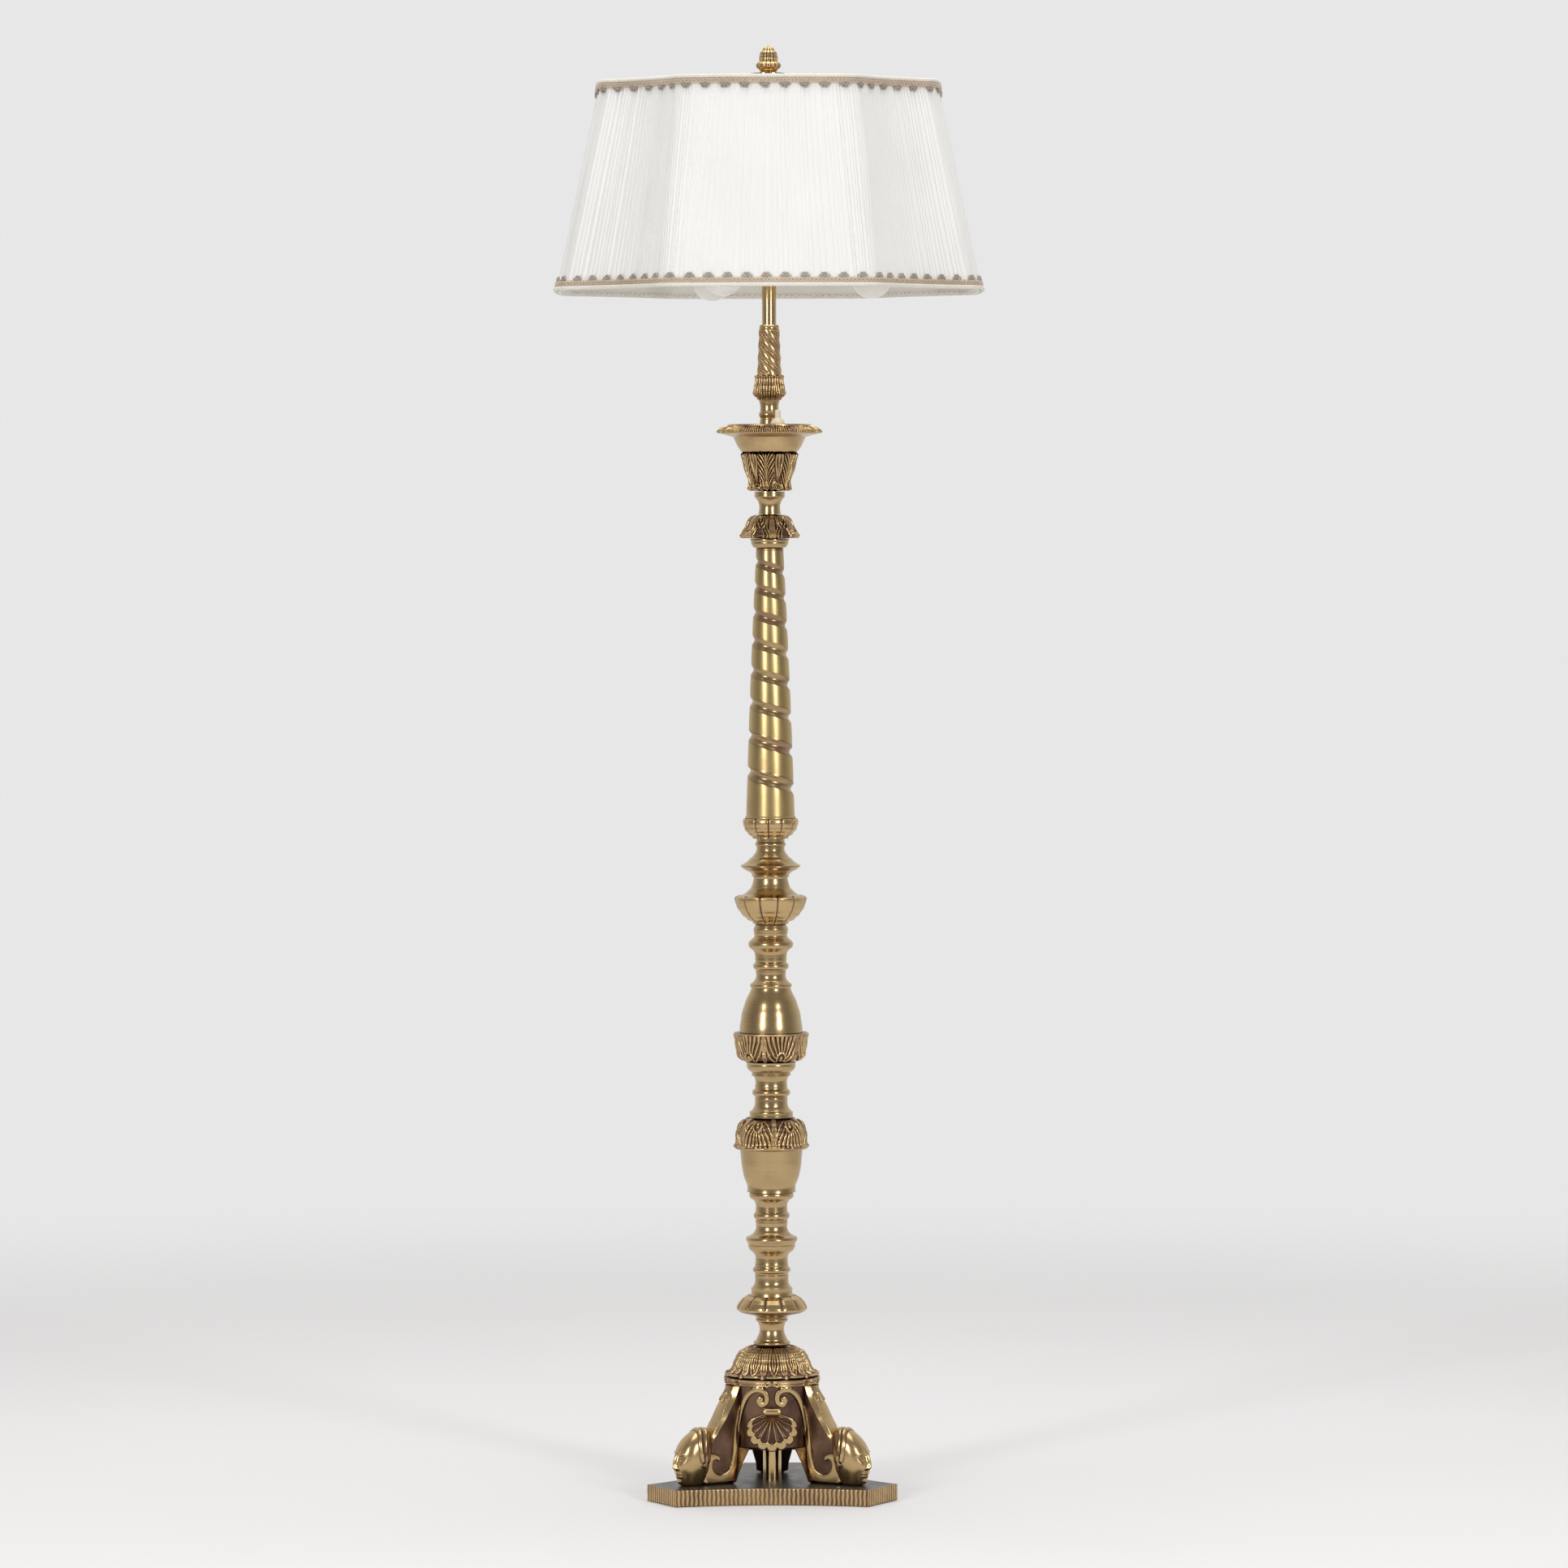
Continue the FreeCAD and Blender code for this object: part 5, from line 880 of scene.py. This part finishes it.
def plate_outline(step=0.5):
    """Points round the plate: three short corner sides, and three long sides bent a little inwards."""
    corners = []
    for bearing in LEG_BEARINGS:
        out, aside = directions(bearing)
        corners += [PLATE_REACH * out - CORNER_HALF * aside, PLATE_REACH * out + CORNER_HALF * aside]
    spots = []
    for index, a in enumerate(corners):
        b, bend = corners[(index + 1) % 6], PLATE_BOW * (index % 2)
        count = int(np.linalg.norm(b - a) / step)
        share = (np.arange(count) / count)[:, None]
        inward = -(a + b) / 2.0
        spots.append(a + (b - a) * share + bend * 4.0 * share * (1.0 - share) * inward / np.linalg.norm(inward))
    return np.concatenate(spots)


def plate():
    outline = plate_outline()
    normal = outward_of(outline, 3)
    normal = sum(np.roll(normal, shift, 0) for shift in range(-4, 5))
    normal /= np.linalg.norm(normal, axis=1)[:, None]
    run, length = round_trip(outline)
    reeds_round = round(length / 4.9)
    wander = 0.10 * np.sin(run / 61.0) + 0.05 * np.sin(run / 17.0)
    rings, tones = [], []
    for level in np.concatenate([[0.0], np.linspace(0.6, 17.4, 22), [PLATE_TOP]]):
        share = (run / length * reeds_round + wander + 0.05 * np.sin(level * 0.5 + run * 0.21)) % 1.0 - 0.5
        hollow = 0.5 + 0.5 * np.cos(math.pi * (np.abs(share) * 2.0))
        ends = max(min(level / 0.8, (PLATE_TOP - level) / 1.6, 1.0), 0.0)
        inset = 1.25 * hollow * (0.35 + 0.65 * ends) + (0.9 if level in (0.0, PLATE_TOP) else 0.0)
        rings.append(np.column_stack([outline - normal * inset[:, None], np.full(len(run), level)]))
        tones.append(0.80 * hollow ** 1.5)
    under, top = ([np.column_stack([outline * share, np.full(len(run), level)]) for share in shares]
                  for level, shares in ((0.0, (0.1, 0.6, 0.97)),
                                        (PLATE_TOP, (0.985, 0.94, 0.86, 0.75, 0.6, 0.4, 0.2, 0.06))))
    grid = np.stack(under + rings + top)
    shade = np.concatenate([np.full((3, len(run)), 0.8), np.stack(tones), np.full((8, len(run)), 0.8)])
    return closed_grid(grid, np.array([[0, 0, 0.0], [0, 0, PLATE_TOP]]), shade, (0.8, 0.8)), len(run)


EDGE = brass("reeded_edge", (0.60, 0.43, 0.22), (0.31, 0.20, 0.115), (0.11, 0.062, 0.045), 0.26, 0.34, 0.9)
made = Nodes("mottled_plate")
where = made.place()
cloud, grit = made.noise(where, 55.0, 6.0, 0.65), made.noise(where, 900.0, 3.0)
tint = made.ramp(cloud, ((0.30, (0.034, 0.025, 0.020)), (0.48, (0.070, 0.056, 0.046)),
                         (0.60, (0.085, 0.083, 0.068)), (0.75, (0.14, 0.13, 0.11))))
tint = made.blend(made.spread(grit, 0.55, 0.75, 0.0, 0.6), tint, (0.22, 0.20, 0.17))
MOTTLED = made.finish(base_color=tint, metallic=0.55, roughness=made.spread(cloud, 0.3, 0.75, 0.28, 0.50),
                      normal=made.bump(grit, 0.0002, 0.5))
(spots, faces, tones), columns = plate()
plate_piece = piece("reeded_plate", spots, faces, MOTTLED, "base_plate", tones=tones, crease=60)
plate_piece.data.materials.append(EDGE)
marks = np.zeros(len(plate_piece.data.polygons), np.int32)
marks[2 * columns:27 * columns] = 1
plate_piece.data.polygons.foreach_set("material_index", marks)
outward(plate_piece)


# ---------------------------------------------------------------- the shade
SHADE_FOOT, SHADE_RISE = 1328.0, 229.0
FOOT_REACH, TOP_REACH, FOOT_FACE, TOP_FACE = 230.0, 182.0, 107.0, 86.0
CORNER_CUT, HOLLOW_BOW, FACE_BOW = 16.0, -8.0, 4.0


def towards(start, end):
    """The point at the cut of a corner, on the way to the next one."""
    return start + (end - start) / np.linalg.norm(end - start) * CORNER_CUT


def shade_ring(share, inset, arc, slant, straight):
    """Points round the eight-sided shade at a share of its height: the four diagonal sides are hollow,
    the four others bow out a little, and the corners are soft. Also the outward direction at each."""
    reach = FOOT_REACH + (TOP_REACH - FOOT_REACH) * share - inset
    face = FOOT_FACE + (TOP_FACE - FOOT_FACE) * share - inset * math.tan(math.radians(22.5))
    corners = np.array([(face, -reach), (reach, -face), (reach, face), (face, reach),
                        (-face, reach), (-reach, face), (-reach, -face), (-face, -reach)])
    runs = []
    for index, corner in enumerate(corners):
        after = corners[(index + 1) % 8]
        count, bow = (straight, FACE_BOW) if index % 2 else (slant, HOLLOW_BOW)
        enter, leave, end = towards(corner, corners[index - 1]), towards(corner, after), towards(after, corner)
        t = (np.arange(arc) / arc)[:, None]
        runs.append((1 - t) ** 2 * enter + 2 * t * (1 - t) * corner + t ** 2 * leave)
        t = (np.arange(count) / count)[:, None]
        middle = (corner + after) / 2.0
        runs.append(leave + (end - leave) * t + bow * middle / np.linalg.norm(middle) * 4.0 * t * (1.0 - t))
    ring = np.concatenate(runs)
    return ring, outward_of(ring, 2)


def developed(grid):
    """Mean length round a sheet and its length from foot to top, in metres."""
    loop = np.concatenate([grid, grid[:, :1]], 1)
    around = np.linalg.norm(np.diff(loop, axis=1), axis=2).sum(1).mean()
    return around / 1000.0, np.linalg.norm(np.diff(grid, axis=0), axis=2).sum(0).mean() / 1000.0


def sheet_wall(shares, levels, inset, cells, sunk, thickness):
    """A thin closed ring of cloth inside the shade's outline, and the size of its outer face laid flat.
    sunk(share, place) says how deep each place round it lies."""
    outer, inner = [], []
    for share, level in zip(shares, levels):
        ring, out = shade_ring(share, inset, *cells)
        depth = sunk(share, np.arange(len(ring)) / len(ring))
        for face, extra in ((outer, 0.0), (inner, thickness)):
            face.append(np.column_stack([ring - out * (depth + extra)[:, None], np.full(len(ring), level)]))
    outer = np.stack(outer)
    grid = np.concatenate([outer, np.stack(inner)[::-1]])
    return grid.reshape(-1, 3), net(*grid.shape[:2]), developed(outer)


PLEATS, RISING = 280, 0.80


def pleats(share, place):
    """Narrow uneven pleats that all lean the same way."""
    jitter = sum(size * np.sin(math.tau * times * place + start)
                 for size, times, start in ((0.22, 31, 0.4), (0.18, 53, 1.9), (0.12, 97, 4.0), (0.30, 7, 2.2)))
    deep = 1.0 + 0.22 * np.sin(math.tau * 43 * place + 1.0) + 0.16 * np.sin(math.tau * 71 * place)
    sway = 0.06 * np.sin(share * 5.0 + 9.0 * place * math.tau) + 0.02 * np.sin(share * 11.0 + 23.0 * place * math.tau)
    fold = (place * PLEATS + jitter + sway) % 1.0
    tooth = np.where(fold < RISING, fold / RISING, (1.0 - fold) / 0.20)
    return 1.5 * deep * (1.0 - tooth) * (1.0 - 0.2 * share) + 0.2


def pulls(share, place):
    """Slight folds where the lining is stretched over the ribs."""
    return 0.35 * np.sin(place * math.tau * 40.0 + 2.0 * share) * math.sin(share * math.pi)


def cloth(name, colour, other, weave=1500.0, sheen=0.25):
    made = Nodes(name)
    where = made.place()
    patch = made.noise(where, 14.0, 3.0)
    thread = made.add("TexWave", {"Vector": where, "Scale": weave, "Distortion": 1.5, "Detail": 1.0},
                      bands_direction="Z").outputs["Fac"]
    slub = made.noise(made.place((260.0, 260.0, 30.0)), 3.0, 2.0)
    tint = made.ramp(patch, ((0.3, colour), (0.7, other)))
    tint = made.blend(made.spread(slub, 0.55, 0.8, 0.0, 0.12), tint, tuple(0.9 * c for c in other))
    return made.finish(base_color=tint, roughness=made.spread(slub, 0.3, 0.7, 0.79, 0.91), sheen_weight=sheen,
                       sheen_roughness=0.5, normal=made.bump(thread, 0.00008, 0.35, made.bump(slub, 0.00008, 0.3)))


SILK = cloth("pleated_silk", (0.88, 0.88, 0.86), (0.86, 0.85, 0.825))
LINING = cloth("smooth_lining", (0.84, 0.81, 0.75), (0.79, 0.75, 0.68))
CORD = cloth("white_cord", (0.84, 0.81, 0.75), (0.74, 0.69, 0.60), weave=2600.0)
BEIGE = cloth("beige_braid", (0.66, 0.56, 0.44), (0.52, 0.42, 0.31), weave=2600.0, sheen=0.4)
TERRA = cloth("terracotta_ribbon", (0.74, 0.56, 0.45), (0.66, 0.46, 0.35), weave=2200.0)
PICOT = cloth("grey_picot", (0.50, 0.44, 0.36), (0.36, 0.30, 0.24), weave=2600.0, sheen=0.4)

shares = np.linspace(0.0, 1.0, 34)
levels = SHADE_FOOT + 0.6 + (SHADE_RISE - 1.2) * shares
spots, faces, cut = sheet_wall(shares, levels, 0.0, (64, 160, 208), pleats, 0.35)
cover = piece("pleated_cover", spots, faces, SILK, "shade_cover", "shade", crease=0)
shares = np.linspace(0.0, 1.0 - 3.0 / SHADE_RISE, 26)
spots, faces, lining_cut = sheet_wall(shares, SHADE_FOOT + SHADE_RISE * shares, 5.8, (12, 40, 52), pulls, 0.5)
lining = piece("smooth_lining", spots, faces, LINING, "shade_lining", "shade", crease=0)


def around(foot, outset, height=0.0):
    """A path round the shade at a height above its foot, standing out from its cover."""
    ring, out = shade_ring(foot / SHADE_RISE, 0.0, 60, 210, 270)
    outset, height = (np.broadcast_to(value, (len(ring),)) for value in (outset, height))
    return np.column_stack([ring + out * outset[:, None], SHADE_FOOT + foot + height])


# The loops of one cluster: their place along the rim, their rise above it and their half width.
LOOPS = ((-3.4, 10.6, 1.7), (-1.3, 12.8, 1.9), (1.3, 13.0, 1.9), (3.4, 10.8, 1.7), (0.0, 10.0, 1.5))


def trim(name, node, foot, sign, clusters):
    """A trimming along the shade's rim: a white twisted cord at the edge, two wavy gold strands over a ribbon,
    and clusters of small loops that point at the fabric."""
    edge = around(foot, 0.0)
    run, length = round_trip(edge)
    share = run / length
    phase = math.tau * share
    cord_sides = 12
    turn = np.arange(cord_sides) / cord_sides
    twist = np.abs(np.sin(math.pi * (share[:, None] * round(length / 3.1) + turn[None, :]))) ** 0.7
    cords = [tube(around(foot + sign * 2.1, 1.1), 1.5 + 0.75 * twist, cord_sides, True),
             tube(around(foot + sign * 2.6, -7.6, 1.2 * np.sin(phase * round(length / 7.0))), 0.8, 6, True)]
    low, high = foot + sign * 3.6, foot + sign * 10.2
    low_out, high_out = around(low, 1.0), around(high, 0.9)
    grid = np.stack([around(low, 0.1), low_out, (low_out + high_out) / 2.0, high_out, around(high, 0.1)])
    ribbon = (grid.reshape(-1, 3), net(*grid.shape[:2]), 0.0)
    waves, middle = phase * round(length / 8.4), foot + sign * 7.0
    strands = []
    for start in (0.0, math.pi):
        path = around(middle, 1.5 + 0.45 * np.cos(waves * 2.0 + start), 1.9 * np.sin(waves + start))
        strands.append(tube(path, 0.85, 7, True))
    strands.append(tube(around(middle, 1.1), 0.55 + 0.12 * np.sin(phase * round(length / 2.2)), 6, True))
    loops = []
    slope = (around(foot + 10.0, 0.9) - around(foot, 0.9))[:, :2] / 10.0
    turn = np.arange(14) / 14 * math.tau
    for cluster in range(clusters):
        for step, rise, half in LOOPS:
            spot = ((cluster + 0.5) / clusters * length + step + 0.5 * chance.uniform(-1, 1)) % length
            half = half * chance.uniform(0.85, 1.1)
            index = int(np.searchsorted(run, spot)) % len(run)
            ahead = (edge[(index + 3) % len(run)] - edge[index - 3])[:2]
            ahead = ahead / np.linalg.norm(ahead)
            out = np.array([ahead[1], -ahead[0]])
            base = edge[index, :2] + out * 1.2 + slope[index] * (sign * rise)
            flat = base + ahead * (half * np.cos(turn))[:, None] + out * (0.3 * np.sin(turn * 2.0))[:, None]
            loops.append(tube(np.column_stack([flat, SHADE_FOOT + foot + sign * rise + half * np.sin(turn) * sign]),
                              0.72, 6, True))
    made = []
    for label, parts, finish in (("cord", cords, CORD), ("ribbon", [ribbon], TERRA), ("strands", strands, BEIGE),
                                 ("loops", loops, PICOT)):
        spots, faces, _ = merged(parts)
        made.append(outward(piece(f"{name}_{label}", spots, faces, finish, node if label == "cord" else None,
                                  "shade", crease=0)))
    return made


foot_trim = trim("foot_trim", "bottom_braid", 0.0, 1.0, 74)
top_trim = trim("top_trim", "top_braid", SHADE_RISE, -1.0, 58)


# ---------------------------------------------------------------- floor, light and camera
made = Nodes("pale_floor")
where = made.place()
tint = made.ramp(made.noise(where, 1.2, 2.0), ((0.3, (0.86, 0.85, 0.85)), (0.7, (0.88, 0.87, 0.87))))
away = made.add("VectorMath", {0: where}, operation="LENGTH").outputs["Value"]
fade = made.spread(away, 1.2, 3.6, interpolation_type="SMOOTHERSTEP")
pale = made.finish(base_color=tint, roughness=0.9, specular_ior_level=0.1)
join = made.add("MixShader", {0: fade, 1: made.shader.outputs[0], 2: made.add("BsdfTransparent").outputs[0]})
made.tree.links.new(join.outputs[0], made.tree.nodes["Material Output"].inputs["Surface"])
rings = np.array([0.02, 0.5, 1.0, 2.0, 3.5, 5.0])
angle = np.arange(96) / 96 * math.tau
grid = np.stack([rings[:, None] * np.cos(angle), rings[:, None] * np.sin(angle), np.full((6, 96), -0.0003)], -1)
mesh = bpy.data.meshes.new("floor")
mesh.from_pydata(grid.reshape(-1, 3).tolist(), [], net(6, 96, False).tolist() + [list(range(95, -1, -1))])
mesh.materials.append(pale)
floor = bpy.data.objects.new("floor", mesh)
bpy.context.scene.collection.objects.link(floor)

BACKDROP, ROOM_FRONT = (0.80, 0.80, 0.80), (0.30, 0.293, 0.287)
made = Nodes("studio", world=True)
depth = made.add("SeparateXYZ", {0: made.add("TexCoord").outputs["Generated"]}).outputs["Y"]
depth = made.spread(depth, -0.35, 0.85, interpolation_type="SMOOTHSTEP")
room = made.ramp(depth, ((0.0, ROOM_FRONT), (1.0, BACKDROP)))
seen = made.add("LightPath").outputs["Is Camera Ray"]
bpy.context.scene.world = made.finish(color=made.blend(seen, room, BACKDROP), strength=1.0)


STEM_MIDDLE = 0.85


def softbox(name, azimuth, distance, height, size, power):
    """A tall soft light, aimed at the middle of the stem. The azimuth is from the front, to the right."""
    lamp = bpy.data.lights.new(name, "AREA")
    lamp.shape = "RECTANGLE"
    lamp.size, lamp.size_y = size
    lamp.energy = power
    holder = bpy.data.objects.new(name, lamp)
    bpy.context.scene.collection.objects.link(holder)
    turn = math.radians(azimuth)
    holder.location = (distance * math.sin(turn), -distance * math.cos(turn), height)
    lean = math.atan2(height - STEM_MIDDLE, distance)
    holder.rotation_euler = (math.pi / 2.0 - lean, 0.0, turn)
    holder.visible_camera = False
    return holder


softbox("left_softbox", -32.0, 3.4, 1.55, (0.50, 1.5), 37.0)
softbox("right_softbox", 32.0, 3.4, 1.55, (0.50, 1.5), 37.0)
top = softbox("top_softbox", 180.0, 0.3, 3.4, (2.4, 2.4), 50.0)
top.rotation_euler = (math.radians(18.0), 0.0, 0.0)

camera = bpy.data.objects.new("camera", bpy.data.cameras.new("camera"))
bpy.context.scene.collection.objects.link(camera)
camera.location = (0.0158, -8.0, 1.0861)
camera.rotation_euler = (math.radians(90.0 - 2.139), math.radians(0.15), 0.0)
camera.data.lens = 166.74
camera.data.sensor_width = 36.0
bpy.context.scene.camera = camera
bpy.context.scene.view_settings.view_transform = "Standard"
